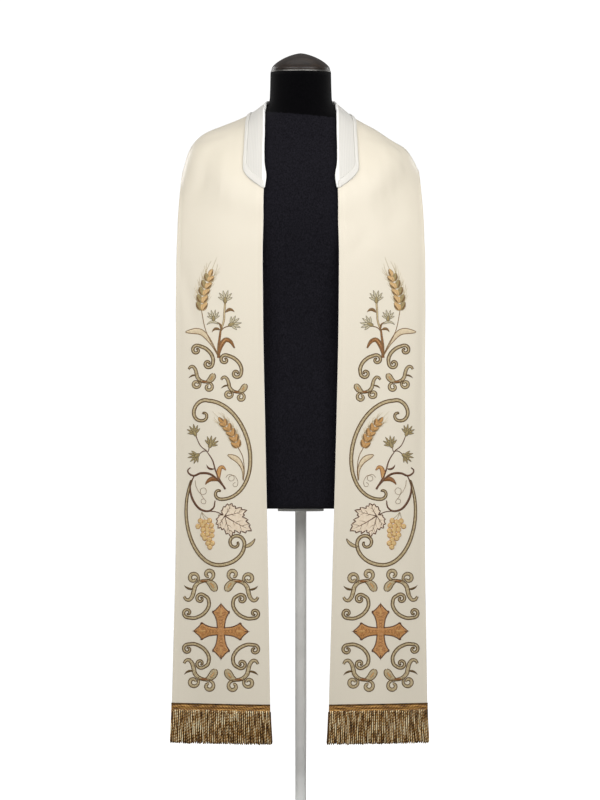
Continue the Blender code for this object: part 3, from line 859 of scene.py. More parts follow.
class Needle:
    """Sews strokes of satin stitch and cord on the face of one half, drawn square from the front."""

    def __init__(self, cloth):
        self.sign = cloth.sign
        self.bm = bmesh.new()
        points = [
            cloth.on_its_side(point + normal * CLOTH)
            for row, normals in zip(cloth.rows, cloth.normals)
            for point, normal in zip(row, normals)
        ]
        width = len(cloth.rows[0])
        quads = [
            (i * width + j, i * width + j + 1, (i + 1) * width + j + 1, (i + 1) * width + j)
            for i in range(len(cloth.rows) // 3, len(cloth.rows) - 1)
            for j in range(width - 1)
        ]
        self.face = BVHTree.FromPolygons(points, quads)

    def on_cloth(self, place, height):
        """The point at a height over the cloth where a drawn place falls on it."""
        x, z = self.sign * place.real * DRAWN_SCALE, place.imag * DRAWN_SCALE
        hit, normal, _, _ = self.face.ray_cast(Vector((x, BEFORE_FRONTS, z)), Vector((0, 1, 0)))
        if hit is None:
            hit, normal, _, _ = self.face.find_nearest(Vector((x, ON_FRONTS, z)))
        if normal.y > 0:
            normal = -normal
        return hit + normal * height

    def lay(self, rows, marks, thread):
        """Adds a patch of stitching that looks out of the cloth."""
        faces = lay_grid(self.bm, rows, marks, THREAD_NAMES.index(thread))
        if sum(face.normal.y * face.calc_area() for face in faces) > 0:
            bmesh.ops.reverse_faces(self.bm, faces=faces)

    def stroke(self, path, width, shape, thread, height):
        """A band of satin stitch along a path, rounded to a height."""
        rows, marks = [], []
        run = 0.0
        before = path[0]
        sides = [2 * column / STITCH_COLUMNS - 1 for column in range(STITCH_COLUMNS + 1)]
        for place, left, half in sides_of(path, width, shape):
            crown = height * (1.0 if half > SLIM_HALF else SLIM_HEIGHT)
            run += abs(place - before)
            before = place
            rows.append([
                self.on_cloth(place + left * side * half, crown * math.sqrt(1 - side ** 2) - STITCH_SUNK)
                for side in sides
            ])
            marks.append([(side * half, run) for side in sides])
        self.lay(rows, marks, thread)

    def cord(self, path, thread, width=1.5, shape=even):
        self.stroke(path, width, shape, thread, CORD_HEIGHT)

    def edged(self, path, width, shape, fill, edge, edge_width=1.5, height=0.6):
        """A filled shape along a path, with a cord down each side."""
        self.stroke(path, width, shape, fill, height)
        for side in (1, -1):
            beside = [place + left * side * half for place, left, half in sides_of(path, width, shape)]
            self.cord(beside, edge, edge_width)

    def field(self, edge, heart, thread, height):
        """Stitching that fills a closed outline from its heart, domed to a height."""
        rows, marks = [], []
        for step in range(FIELD_ROWS + 1):
            share = FIELD_HEART + (1 - FIELD_HEART) * step / FIELD_ROWS
            dome = height * math.sqrt(1 - (step / FIELD_ROWS) ** 4) - FIELD_SUNK
            spokes = [(place - heart) * share for place in edge]
            rows.append([self.on_cloth(heart + spoke, dome) for spoke in spokes])
            marks.append([(spoke.real, spoke.imag) for spoke in spokes])
        self.lay(rows, marks, thread)


# ---- the motifs --------------------------------------------------------------------------------
def sew_scroll(needle, path, width=5.4):
    """A long scroll with a knot in the eye at each end."""
    needle.edged(path, width, swelling, "beige", "brown", 2.5)
    for eye in (path[0], path[-1]):
        needle.stroke(bent(eye - 1.7, eye + 1.7, 0.0, 8), 3.4, disc, "brown", 1.2)


TOP_GRAIN_SUNK = 0.3       # of its length, between the last pair of an ear
GRAIN_LEAN = 33
AWN_SPREADS = (-2, 16, 34)


def sew_wheat(needle, axis, size, awn, inner, outer, pairs=5):
    """An ear of wheat: pairs of plump grains up its axis, in an inner and an outer thread, and awns."""
    for pair in range(pairs, -1, -1):
        place, ahead = along_path(axis, 0.94 * pair / pairs)
        sides = (1, -1) if pair < pairs else (0,)
        fuller = size * (1 - 0.20 * (pair / pairs) ** 2)
        for side in sides:
            way = ahead * toward(GRAIN_LEAN * side)
            root = place - ahead * fuller * (0.05j * side if side else TOP_GRAIN_SUNK)
            tip = root + way * fuller
            for spread in AWN_SPREADS:
                whisker = tip + ahead * toward(spread * side) * awn * (1.1 - spread / 80)
                needle.cord(bent(tip, whisker, 0.05 * side, 8), "beige", 0.8, tapering)
            husk = bent(root, tip, 0.07 * side, 10)
            needle.edged(husk, fuller * 0.64, grain, outer if side < 0 else inner, "taupe", 0.8)
            beside = way * 1j * (side or 1) * fuller * 0.17
            needle.stroke([spot + beside for spot in husk[1:]], fuller * 0.20, leaf, "umber", 1.0)
        if pair < pairs:
            needle.stroke(bent(place, place + ahead * fuller * 0.62, 0.0, 8), fuller * 0.30, leaf, inner, 1.1)


# Each petal of a flower: degrees off the stem's heading, and its share of the flower's size.
Petal = namedtuple("Petal", "turn length")
PETALS = (
    Petal(66, 0.74), Petal(-66, 0.74), Petal(40, 0.92), Petal(-40, 0.92), Petal(14, 1.0), Petal(-14, 0.96),
)


def sew_flower(needle, foot, heading, size, thread="sage"):
    """An open star-like flower: slender petals with edges of a deeper thread, over a small cup."""
    ahead = toward(heading)
    root = foot + ahead * size * 0.24
    for petal in PETALS:
        blade = bent(root, root + ahead * toward(petal.turn) * size * petal.length, 0.0, 8)
        needle.edged(blade, size * 0.21, leaf, thread, "moss", 0.9, 0.7)
    cup = bent(foot - ahead * size * 0.05, foot + ahead * size * 0.62, 0.0, 8)
    needle.edged(cup, size * 0.36, leaf, "olive", "moss", 1.2, 1.0)


def sew_hook_leaf(needle, start, end, bow, width, thread):
    """A small curved leaf on a stem."""
    needle.stroke(bent(start, end, bow), width, leaf, thread, 0.9)


BRANCH_STEM = through(
    29 + 24j, 26 + 28.5j, 21 + 29.5j, 16 + 24j, 13.5 + 16j, 11.5 + 8j, 5.5 + 1.5j, -4 - 1.5j, -12 - 1.5j,
)
BRANCH_RINGS = (
    [7 + 2j] + curl(5.6 - 4.5j, -92, 8.2, 370, 0.60),
    [-9 - 2j] + curl(-12 - 3.2j, 192, 8.4, 360, 0.60),
)
BRANCH_WIDTH = 5.8


def sew_branch(needle, centre, scale, flip_x=1, flip_z=1):
    """A branched scroll ornament: a hooked stem, a leaf, two curls and a rounded lobe."""
    def placed(path):
        return [centre + complex(place.real * flip_x, place.imag * flip_z) * scale for place in path]

    width = BRANCH_WIDTH * scale
    needle.edged(placed(BRANCH_STEM), width, swelling, "beige", "brown", 2.1)
    needle.stroke(placed(bent(13.5 + 12j, 29 + 6j, 0.14)), 4.0 * scale, leaf, "brown", 0.9)
    for ring in BRANCH_RINGS:
        needle.edged(placed(ring), width * 0.9, swelling, "beige", "brown", 2.1)
    drop = placed(bent(-6 - 2j, -21 + 15.5j, 0.14, 16))
    needle.edged(drop, 12.0 * scale, lobe, "beige", "brown", 2.0, 0.8)
    needle.edged(drop[5:-3], 3.8 * scale, disc, "ochre", "brown", 1.4, 1.0)
    needle.stroke(placed(bent(4 - 0.5j, -11 - 1.5j, 0.0)), 3.8 * scale, leaf, "rust", 1.3)


def sew_bouquet(needle):
    """Wheat and three flowers tied over a pair of scrolls, at the top of the front."""
    base = 160 + 968j
    stem = through(base, 160 + 992j, 158 + 1008j, 156 + 1024j)
    needle.edged(stem, 5.0, tapering_stem, "rust", "umber", 1.8)
    stalk = through(156 + 1022j, 150 + 1040j, 149 + 1056j, 147.5 + 1076j)
    needle.edged(stalk, 2.6, even, "straw", "umber", 1.2)
    needle.cord(through(base + 4j, 172 + 993j, 186 + 1023j, 194 + 1062j), "umber", 1.6)
    sew_wheat(needle, through(194 + 1062j, 192 + 1085j, 185 + 1110j, 175 + 1136j), 18.5, 22, "gold", "olive")
    blade = through(base + 3j, 177 + 1000j, 196 + 1019j, 225 + 1019j)
    needle.edged(blade, 11, late_leaf, "peach", "umber", 1.6, 0.5)
    sew_flower(needle, 147.5 + 1075j, 92, 20.5)
    needle.cord(through(156 + 1020j, 149 + 1027j, 139 + 1030j), "umber", 2.2)
    sew_flower(needle, 140.5 + 1031j, 157, 21)
    needle.stroke(bent(156 + 1020j, 163 + 1038j, 0.2), 5.0, leaf, "umber", 1.0)
    sew_flower(needle, 170 + 1040j, 88, 18)
    needle.edged(bent(161 + 1034j, 183 + 1033j, 0.22), 4.4, leaf, "sage", "moss", 1.0)
    sew_hook_leaf(needle, 147 + 1056j, 129 + 1057j, -0.32, 7, "umber")
    sew_hook_leaf(needle, 157 + 1022j, 173 + 1018j, 0.30, 6, "umber")
    curved = through(base + 6j, 156.5 + 990j, 147 + 1003j, 137 + 1000j, 129 + 987j)
    needle.edged(curved, 8, leaf, "rust", "umber", 2.2, 0.9)
    needle.stroke(curved[6:-6], 2.6, leaf, "ochre", 1.2)
    for corner in (199 + 992j, 143.5 + 973j):
        arc = through(*[corner + step for step in (0, -12.5 - 5j, -23 - 14.5j, -28 - 26j, -27.5 - 35j)])
        sew_scroll(needle, curled(arc, (9.6, 400), (9.2, 400)))
    sew_branch(needle, 190.5 + 922.5j, 0.98)
    sew_branch(needle, 127.5 + 902.5j, 0.95)


def sew_great_scrolls(needle):
    """Two great C scrolls, one over the other, that hold the wheat, flowers, grapes and vine leaf."""
    upper = oval(190 + 865.5j, 18.5, 20.2, -90, 92, -4, 24) + oval(168.4 + 788.5j, 68.9, 96.1, 92, 270, 13.7)
    sew_scroll(needle, curled(upper, (11.5, 230), (12.5, 240)), 6.0)
    ear = through(123 + 794j, 129 + 810j, 141 + 830j, 157 + 848j)
    sew_wheat(needle, ear, 16.0, 15, "ochre", "ochre")
    needle.cord(through(123 + 795j, 113 + 775j, 110 + 745j, 112 + 729j), "umber", 1.6)
    blade = through(112 + 731j, 113.5 + 752j, 123 + 769j, 142 + 779j)
    needle.edged(blade, 10, late_leaf, "peach", "umber", 1.6, 0.5)
    for foot, heading, size in ((205 + 816j, 68, 19), (178.5 + 793j, 112, 20), (198 + 780j, -28, 19)):
        sew_flower(needle, foot, heading, size, "olive")
    sew_vine(needle)
    sew_grapes(needle, 187 + 655j)
    sew_vine_leaf(needle, 151 + 662j, 209, 60)
    lower = oval(160 + 670j, 64, 106, 28, -88) + oval(161 + 606j, 51.5, 42, -92, -176, steps=20)
    sew_scroll(needle, curled(lower, (300, 3), (17.5, 420)), 6.0)
    needle.edged(bent(111 + 600j, 89 + 616j, 0.14), 6, leaf, "beige", "brown", 1.6)


def sew_vine(needle):
    """The vine's stems, leaves and tendrils, from under the flowers down to its leaf and grapes."""
    trunk = through(147 + 712j, 158 + 730j, 166 + 748j, 172 + 768j, 184 + 787j)
    needle.stroke(trunk, 4.4, tapering_stem, "vine", 1.0)
    needle.cord(through(184 + 787j, 196 + 797j, 206 + 819j), "vine", 2.0)
    needle.cord(through(182 + 784j, 180 + 787j, 178.5 + 794j), "vine", 1.8)
    needle.cord(through(183 + 786j, 190 + 786j, 200 + 779j), "vine", 2.0)
    sew_hook_leaf(needle, 168 + 752j, 184 + 760j, -0.25, 4.5, "vine")
    hooked = through(160 + 731j, 160 + 744j, 157 + 753j, 152 + 755j, 146 + 749j)
    needle.edged(hooked, 8, leaf, "ochre", "rust", 1.7, 0.9)
    needle.edged(bent(158 + 728j, 186 + 721j, 0.26), 8, leaf, "rust", "umber", 1.5, 0.9)
    upper_tendril = through(
        146 + 735j, 141.5 + 740j, 135.5 + 740.5j, 130 + 736j, 131 + 730j, 136.5 + 728j, 140.5 + 732j,
        138.5 + 737j, 131 + 739j, 125.5 + 734j, 122.5 + 726j, 124.5 + 718j, 130 + 717.5j, 132 + 722j,
        127.5 + 725.5j,
    )
    needle.cord(upper_tendril, "umber", 0.9)
    hook = through(
        147 + 712j, 158 + 726j, 176 + 741j, 195 + 743j, 209 + 738j, 219 + 743j, 220.5 + 749j, 215 + 754j,
    )
    needle.stroke(hook, 4.8, swelling, "vine", 1.0)
    loop = through(208 + 738j, 216 + 718j, 212 + 694j, 198 + 674j, 181 + 669j, 170 + 676j, 167 + 690j)
    needle.stroke(loop, 4.8, swelling, "vine", 1.0)
    needle.cord(through(180 + 669j, 166 + 668j, 151 + 662j), "vine", 2.0)
    lower_tendril = through(
        206 + 729j, 204.5 + 718j, 199 + 707j, 192.5 + 701.5j, 185.5 + 703.5j, 184 + 710j, 189 + 714.5j,
        195 + 712j, 195.5 + 705.5j, 191 + 696j, 185 + 688j, 187.5 + 683.5j, 193.5 + 685j, 194 + 691j,
        188.5 + 693j,
    )
    needle.cord(lower_tendril, "umber", 0.9)


GRAPE_ROWS = (3, 4, 3, 3, 2, 2, 1)
GRAPE_PITCH = 8.8          # from the middle of one grape to the next in its row
GRAPE_DROP = 8.6           # and from one row to the next


def sew_grapes(needle, top):
    """A hanging bunch, drawn in rows of round grapes."""
    for row, count in enumerate(GRAPE_ROWS):
        for number in range(count):
            across = (number - (count - 1) / 2) * GRAPE_PITCH + 2.4 * math.sin(row * 2.1) - row * 1.6
            place = top + complex(across, -6.0 - row * GRAPE_DROP + 1.6 * math.cos(number * 2.6 + row))
            grape = oval(place, 4.7, 4.9, 0, 360, steps=16)
            needle.field(grape, place, "grape", 1.5 + 0.1 * row)
            needle.cord(grape, "amber", 1.0)
    for foot in (-9, 0, 9):
        needle.cord(bent(top + complex(6, 12), top + complex(foot, -2), 0.05), "taupe", 1.1)


# The vine leaf's edge from its tip round to its stem: the turn from the leaf's axis in degrees, and
# how far the edge lies from the leaf's heart, as a share of its length there.
LeafEdge = namedtuple("LeafEdge", "turn reach")
VINE_LEAF = (
    LeafEdge(0, 1.00), LeafEdge(6, 0.85), LeafEdge(10, 0.88), LeafEdge(15, 0.70), LeafEdge(20, 0.77),
    LeafEdge(26, 0.56), LeafEdge(31, 0.64), LeafEdge(36, 0.60), LeafEdge(44, 0.74), LeafEdge(50, 0.57),
    LeafEdge(57, 0.60), LeafEdge(64, 0.41), LeafEdge(72, 0.47), LeafEdge(80, 0.40), LeafEdge(90, 0.47),
    LeafEdge(98, 0.36), LeafEdge(108, 0.40), LeafEdge(118, 0.28), LeafEdge(128, 0.31), LeafEdge(142, 0.20),
    LeafEdge(158, 0.20), LeafEdge(180, 0.06),
)
VINE_VEINS = (0, 44, -44, 90, -90)


def sew_vine_leaf(needle, foot, heading, length):
    """A lobed vine leaf: a pale field, its dark toothed edge and its veins."""
    ahead = toward(heading)
    heart = foot + ahead * length * 0.06
    turns = [LeafEdge(-row.turn, row.reach) for row in VINE_LEAF[:0:-1]] + list(VINE_LEAF)
    corners = [heart + ahead * toward(row.turn) * length * row.reach for row in turns]
    edge = [a + (b - a) * k / 3 for a, b in zip(corners, corners[1:]) for k in range(3)] + corners[-1:]
    needle.field(edge, heart, "cream", 0.35)
    needle.cord(edge, "vine", 2.3)
    for turn in VINE_VEINS:
        way = ahead * toward(turn)
        reach = length * next(row.reach for row in VINE_LEAF if row.turn == abs(turn))
        vein = bent(heart, heart + way * reach * 0.84, 0.03)
        needle.cord(vein, "vine", 2.8 if turn == 0 else 2.2, tapering)
        for share, side in ((0.30, 1), (0.42, -1), (0.55, 1), (0.66, -1)):
            root = heart + way * reach * share
            branch = way * toward(40 * side) * reach * 0.22
            needle.cord(bent(root, root + branch, 0.05 * side), "umber", 1.5, tapering)


CROSS_CENTRE = 155.5 + 435j
CROSS_ARM = 53.0
CROSS_STEPS = 24
CROSS_WIDEST = 16.8        # to each side of an arm's middle
CROSS_BORDER = 4.0         # between its dark edge and the gold line inside
# Half width of an arm of the cross at a share of its length.
ArmWidth = namedtuple("ArmWidth", "at half")
ARM_WIDTHS = (
    ArmWidth(0, 7.0), ArmWidth(0.2, 7.2), ArmWidth(0.45, 9.4), ArmWidth(0.62, 13.4),
    ArmWidth(0.70, 15.8), ArmWidth(0.79, 10.4), ArmWidth(0.89, 5.4), ArmWidth(1.0, 0.4),
)


def cross_arm(at):
    """The shape of an arm of the cross."""
    (half,) = read_between([row.at for row in ARM_WIDTHS], [(row.half,) for row in ARM_WIDTHS], at)
    return half / CROSS_WIDEST


def sew_cross(needle):
    """A cross with flared, pointed arms: gold crossed with dark thread, edged with dark cord."""
    halves = [cross_arm(k / CROSS_STEPS) * CROSS_WIDEST for k in range(CROSS_STEPS + 1)]
    for quarter in range(4):
        way = 1j ** quarter
        arm = [CROSS_CENTRE + way * CROSS_ARM * k / CROSS_STEPS for k in range(CROSS_STEPS + 1)]
        needle.stroke(arm, 2 * CROSS_WIDEST, cross_arm, "amber", 0.9)
        for side in (1, -1):
            left = way * 1j * side
            outline = [place + left * half for place, half in zip(arm, halves)]
            inner = [place + left * max(0, half - CROSS_BORDER) for place, half in zip(arm, halves)]
            needle.cord(outline[3:], "vine", 2.4)
            needle.stroke(inner[4:21], 1.2, even, "ochre", 1.3)
            shoulder = max(outline, key=lambda place: abs(((place - CROSS_CENTRE) / way).imag))
            needle.stroke(bent(shoulder - way * 3, shoulder + way * 3, 0.0, 8), 4.0, disc, "vine", 1.3)
        for k in range(3, 18, 3):
            reach = 1j * way * max(2.0, halves[k] - CROSS_BORDER)
            for aside in (-reach, reach):
                needle.stroke(bent(arm[k] + aside, arm[k + 2] - aside, 0.0), 1.3, even, "rust", 1.35)
        needle.stroke(bent(arm[21], arm[24] + way * 3, 0.0, 8), 3.6, tapering, "vine", 1.3)
        needle.stroke(arm[13:21], 7.0, disc, "ochre", 1.2)


def sew_foot_group(needle):
    """The cross between four C scrolls and four branch ornaments, over the fringe."""
    sew_cross(needle)
    arc = through(34 + 70.5j, 25.5 + 64j, 24 + 49j, 34 + 34j, 51 + 25.5j, 65 + 26j)
    scroll = curled(arc, (9.4, 400), (9.4, 400))
    for flip_x, flip_z in itertools.product((1, -1), (1, -1)):
        def placed(place):
            return CROSS_CENTRE + complex(place.real * flip_x, place.imag * flip_z)

        sew_scroll(needle, [placed(place) for place in scroll])
        sew_branch(needle, placed(37 + (94.5 + 2 * flip_z) * 1j), 1.22, flip_x, -flip_z)


def embroider(side, cloth, threads):
    """Everything that is embroidered on one front."""
    needle = Needle(cloth)
    sew_bouquet(needle)
    sew_great_scrolls(needle)
    sew_foot_group(needle)
    return finished(f"embroidery_{side}", needle.bm, threads)


# ---- the form and its stand ----------------------------------------------------------------------
def ring_point(ring, side):
    """Point number side of a section, counted round from +X."""
    angle = 2 * math.pi * side / FORM_SIDES
    c, s = math.cos(angle), math.sin(angle)
    power = 2 / ring.roundness
    depth = ring.back if s > 0 else ring.front
    return Vector((
        math.copysign((ring.half_width - FORM_SHRINK) * abs(c) ** power, c),
        ring.middle + math.copysign((depth - FORM_SHRINK) * abs(s) ** power, s),
        ring.z,
    ))


def seam_dip(point):
    """How far the cover sinks at its seams: the centre back, the sides, and two long curved ones."""
    if not SEAMS_FROM_Z <= point.z <= SEAMS_TO_Z:
        return 0.0
    dip = 0.0
    for side in (1, -1):
        dip += bell(point.y, SIDE_SEAM_Y, SEAM_HALF) * (abs(point.x) > SIDE_SEAM_X)
        # the long seams bow outward over the chest and over the seat
        curved = 62 + 26 * bell(point.z, 1260, 150) + 18 * bell(point.z, 780, 120)
        dip += bell(point.x, side * curved, SEAM_HALF)
    if point.y > 0:
        dip += bell(point.x, 0, SEAM_HALF)
    return min(1.0, dip) * SEAM_DEPTH


def make_form(jersey, neck_knit):
    """The padded form in its jersey, with a blacker cover pulled over the neck."""
    along = running_total(FORM_RINGS, lambda a, b: math.hypot(b.z - a.z, b.half_width - a.half_width))
    bm = bmesh.new()
    rings = []
    for place in places_between(along, [FORM_STEP] * (len(FORM_RINGS) - 1)):
        ring = Ring(*read_between(along, FORM_RINGS, place))
        points = [ring_point(ring, side) for side in range(FORM_SIDES + 1)]
        middle = Vector((0, ring.middle, ring.z))
        for point in points:
            point -= (point - middle).normalized() * seam_dip(point)
        rings.append(points)
    marks = [[(point.x, point.z) for point in ring] for ring in rings]
    lay_grid(bm, rings, marks)
    bmesh.ops.remove_doubles(bm, verts=bm.verts, dist=WELD)
    ends = bmesh.ops.holes_fill(bm, edges=[edge for edge in bm.edges if edge.is_boundary], sides=0)
    for face in ends["faces"]:
        face.smooth = False
    tilt = Vector((-NECK_COVER_TILT, 0, 1)).normalized()
    for above in (0.0, NECK_COVER_HEM):
        bmesh.ops.bisect_plane(
            bm, geom=bm.verts[:] + bm.edges[:] + bm.faces[:],
            plane_co=mm(0, 0, NECK_COVER_Z + above), plane_no=tilt,
        )
    hem = mm(0, 0, NECK_COVER_Z + NECK_COVER_HEM / 2)
    for face in bm.faces:
        face.material_index = int((face.calc_center_median() - hem).dot(tilt) > 0)
    bmesh.ops.recalc_face_normals(bm, faces=bm.faces)
    return finished("dress_form", bm, (jersey, neck_knit), "form_torso")


def make_turned(name, profile, material, node, middle_y=0.0):
    """A piece turned on a lathe from its outline, with its sharp turns kept."""
    piece = finished(name, turned(profile, TURNED_STEPS, middle_y), (material,), node)
    piece.data.set_sharp_from_angle(angle=math.radians(TURNED_SHARP))


def cap_profile():
    """The neck cap's outline: a low dome over a short upright edge with a turned groove."""
    rise = CAP_TOP - CAP_FOOT - CAP_EDGE
    dome = [Turn(0, CAP_TOP)]
    for k in range(1, CAP_STEPS + 1):
        angle = math.radians(90 * k / CAP_STEPS)
        out, up = math.sin(angle) ** (2 / CAP_POWER), max(0.0, math.cos(angle)) ** (2 / CAP_POWER)
        dome.append(Turn(CAP_RADIUS * out, CAP_FOOT + CAP_EDGE + rise * up))
    edge = [Turn(CAP_RADIUS + turn.radius, CAP_FOOT + turn.z) for turn in CAP_GROOVE]
    return dome + edge + [Turn(0, CAP_FOOT)]


# ---- the stole -----------------------------------------------------------------------------------
def station_distance(a, b):
    """The mean of how far the inner and the outer edge run between two sections."""
    inner = Vector(a[0:3]) - Vector(b[0:3])
    outer = Vector(a[3:6]) - Vector(b[3:6])
    return (inner.length + outer.length) / 2


def columns_across(width):
    """Shares of the width: the collar strip's columns first, then even ones to the outer edge."""
    covered = COLLAR_WIDTH / width
    under = [covered * j / COLLAR_COLUMNS for j in range(COLLAR_COLUMNS + 1)]
    rest = [covered + (1 - covered) * (j + 1) / WIDE_COLUMNS for j in range(WIDE_COLUMNS)]
    return under + rest


def arch(t, peak):
    """A curve from 0 at t = 0 to 0 at t = 1 that reaches 1 where t = peak."""
    power = peak / (1 - peak)
    return t ** power * (1 - t) / (peak ** power * (1 - peak))


def lack(form, point, clearance):
    """The move that a point needs to clear the form."""
    nearest, normal, _, _ = form.find_nearest(point)
    return normal * max(0.0, clearance - (point - nearest).dot(normal))


def clearance_at(from_neck_edge):
    """How far the cloth stays off the form: farther beside the neck."""
    return BODY_CLEARANCE + (NECK_CLEARANCE - BODY_CLEARANCE) * bell(from_neck_edge, 0, NECK_ROOM)


class Band:
    """The solid's own inner face of one half, on +X: rows of points that run across the band.

    The rows go from the centre back to the hem, and the points of a row from the neck edge out.
    """

    def __init__(self, side, form):
        self.hang = HANGS[side]
        self.form = form
        self.along = running_total(STATIONS, station_distance)
        steps = [SHORT_STEP if k < HANGS_FROM else LONG_STEP for k in range(len(STATIONS) - 1)]
        self.places = places_between(self.along, steps)
        self.rows = [self.section(place) for place in self.places]
        self.last_column = len(self.rows[0]) - 1
        for _ in range(RELAX_ROUNDS):
            self.relax()
            self.rest_on_form()
        for point in self.rows[0]:
            point.x = CENTRE_SEAM / 2

    def section(self, place):
        """The points across the band at a place along it, before they rest on the form."""
        station = Station(*read_between(self.along, STATIONS, place))
        inner, outer = Vector(station[0:3]), Vector(station[3:6])
        behind = read_between(self.along, STATIONS, max(place - 1, 0))
        ahead = read_between(self.along, STATIONS, min(place + 1, self.along[-1]))
        forward = Vector(ahead[0:3]) + Vector(ahead[3:6]) - Vector(behind[0:3]) - Vector(behind[3:6])
        out = forward.cross(outer - inner).normalized()
        hangs_from = self.along[HANGS_FROM]
        free = max(0.0, (place - hangs_from) / (self.along[-1] - hangs_from))
        bow = station.bow + self.hang.puff * bell(place, self.along[SHOULDER], PUFF_LENGTH)
        points = []
        for t in columns_across((outer - inner).length):
            turns = self.hang.waves_across * t + self.hang.turn + WAVE_SLANT * free
            wave = math.sin(2 * math.pi * turns)
            rise = bow * arch(t, station.peak) + self.hang.depth * free * wave
            point = inner.lerp(outer, t) + out * rise
            point.x += self.hang.drift * free ** 2
            points.append(point)
        return points

    def normal(self, i, j):
        """The outward direction at a point of the band."""
        across = self.rows[i][min(j + 1, self.last_column)] - self.rows[i][max(j - 1, 0)]
        length = self.rows[min(i + 1, len(self.rows) - 1)][j] - self.rows[max(i - 1, 0)][j]
        if i == 0:
            length = Vector((1, 0, 0))
        return length.cross(across).normalized()

    def relax(self):
        """Evens out the part that lies on the form, as stiff cloth does."""
        moves = []
        for i, row in enumerate(self.rows[1:-1], start=1):
            if self.places[i] > self.along[HANGS_FROM]:
                break
            for j in range(1, self.last_column):
                around = row[j - 1] + row[j + 1] + self.rows[i - 1][j] + self.rows[i + 1][j]
                normal = self.normal(i, j)
                moves.append((row[j], normal * (around / 4 - row[j]).dot(normal) * RELAX_PULL))
        for point, move in moves:
            point += move

    def rest_on_form(self):
        """Moves the points out until they and the middles of the faces between them clear the form."""
        for row in self.rows:
            for point, width in zip(row, running_total(row, gap)):
                point += lack(self.form, point, clearance_at(width))
        for this, after in zip(self.rows, self.rows[1:]):
            widths = running_total(this, gap)
            for j in range(self.last_column):
                corners = (this[j], this[j + 1], after[j], after[j + 1])
                for across in CLEARANCE_SAMPLES:
                    for along in CLEARANCE_SAMPLES:
                        near = corners[0].lerp(corners[1], across)
                        far = corners[2].lerp(corners[3], across)
                        move = lack(self.form, near.lerp(far, along), clearance_at(widths[j]))
                        for point in corners:
                            point += move


def column_shares():
    """Shares of the width at the finished fineness, closer together at both edges."""
    inner = EDGE_SHARES[-1]
    middle = [inner + (1 - 2 * inner) * k / MIDDLE_COLUMNS for k in range(1, MIDDLE_COLUMNS)]
    return list(EDGE_SHARES) + middle + [1 - share for share in reversed(EDGE_SHARES)]


class Cloth:
    """One half at its finished fineness, with its creases: the inner face, row by row, on +X."""

    def __init__(self, side, form):
        band = Band(side, form)
        self.sign = 1 if side == "left" else -1
        self.seed = SLACK_SEEDS[side]
        flat_rows = [[c for point in row for c in point] for row in band.rows]
        count = round(band.along[-1] / ROW_STEP)
        self.places = [band.along[-1] * i / count for i in range(count + 1)]
        self.rows = []
        shares = column_shares()
        for place in self.places:
            flat = read_between(band.places, flat_rows, place)
            points = [flat[k:k + 3] for k in range(0, len(flat), 3)]
            widths = running_total(points, gap)
            self.rows.append([Vector(read_between(widths, points, share * widths[-1])) for share in shares])
        self.shape(CREASES[side])
        for row in self.rows:
            for point, width in zip(row, running_total(row, gap)):
                point += lack(form, point, clearance_at(width) - CREASE_CLEARANCE)
        for point in self.rows[0]:
            point.x = CENTRE_SEAM / 2
        self.measure()

    def measure(self):
        """Keeps each row's widths and the outward direction at each point."""
        self.widths = [running_total(row, gap) for row in self.rows]
        self.normals = []
        last, end = len(self.rows) - 1, len(self.rows[0]) - 1
        for i, row in enumerate(self.rows):
            before, after = self.rows[max(i - 1, 0)], self.rows[min(i + 1, last)]
            self.normals.append([
                (after[j] - before[j]).cross(row[min(j + 1, end)] - row[max(j - 1, 0)]).normalized()
                for j in range(end + 1)
            ])

    def shape(self, creases):
        """Raises and sinks the cloth at its creases, its turned-in edges and its faint slack."""
        self.measure()
        for place, row, widths, normals in zip(self.places, self.rows, self.widths, self.normals):
            full = widths[-1]
            for point, width, normal in zip(row, widths, normals):
                from_edge = min(width, full - width)
                rise = -EDGE_TURN_DEPTH * bell(from_edge, EDGE_TURN, EDGE_TURN_HALF)
                spot = Vector((width / SLACK_ACROSS, place / SLACK_ALONG, self.seed))
                rise += SLACK * noise.noise(spot) * min(1.0, from_edge / SLACK_FROM_EDGE)
                for crease in creases:
                    rise += crease_rise(crease, place, width, full)
                point += normal * rise

    def at(self, place, from_edge, lift):
        """The point this far along, this far from the neck edge, and this high over the inner face."""
        first, share = span_of(self.places, place)
        found = []
        for i in (first, first + 1):
            row, normals = self.rows[i], self.normals[i]
            j, t = span_of(self.widths[i], from_edge)
            between = max(0.0, min(1.0, t))
            normal = normals[j].lerp(normals[j + 1], between).normalized()
            found.append(row[j].lerp(row[j + 1], t) + normal * lift)
        return found[0].lerp(found[1], share)

    def on_its_side(self, point):
        """The point on this half's own side of the body."""
        return Vector((self.sign * point.x, point.y, point.z))


def crease_rise(crease, place, width, full):
    """How much one crease lifts the cloth at a place: soft across it, and fading at both ends."""
    run = crease.to_along - crease.along
    cross = (crease.to_across - crease.across) * full
    length = math.hypot(run, cross)
    off_along, off_across = place - crease.along, width - crease.across * full
    part_way = (off_along * run + off_across * cross) / length ** 2
    aside = (off_along * cross - off_across * run) / length
    if not -CREASE_FADE < part_way < 1 + CREASE_FADE or abs(aside) > 3 * crease.half_width:
        return 0.0
    fade = math.sin(math.pi * (part_way + CREASE_FADE) / (1 + 2 * CREASE_FADE)) ** 2
    return crease.height * fade * bell(aside, 0, crease.half_width)


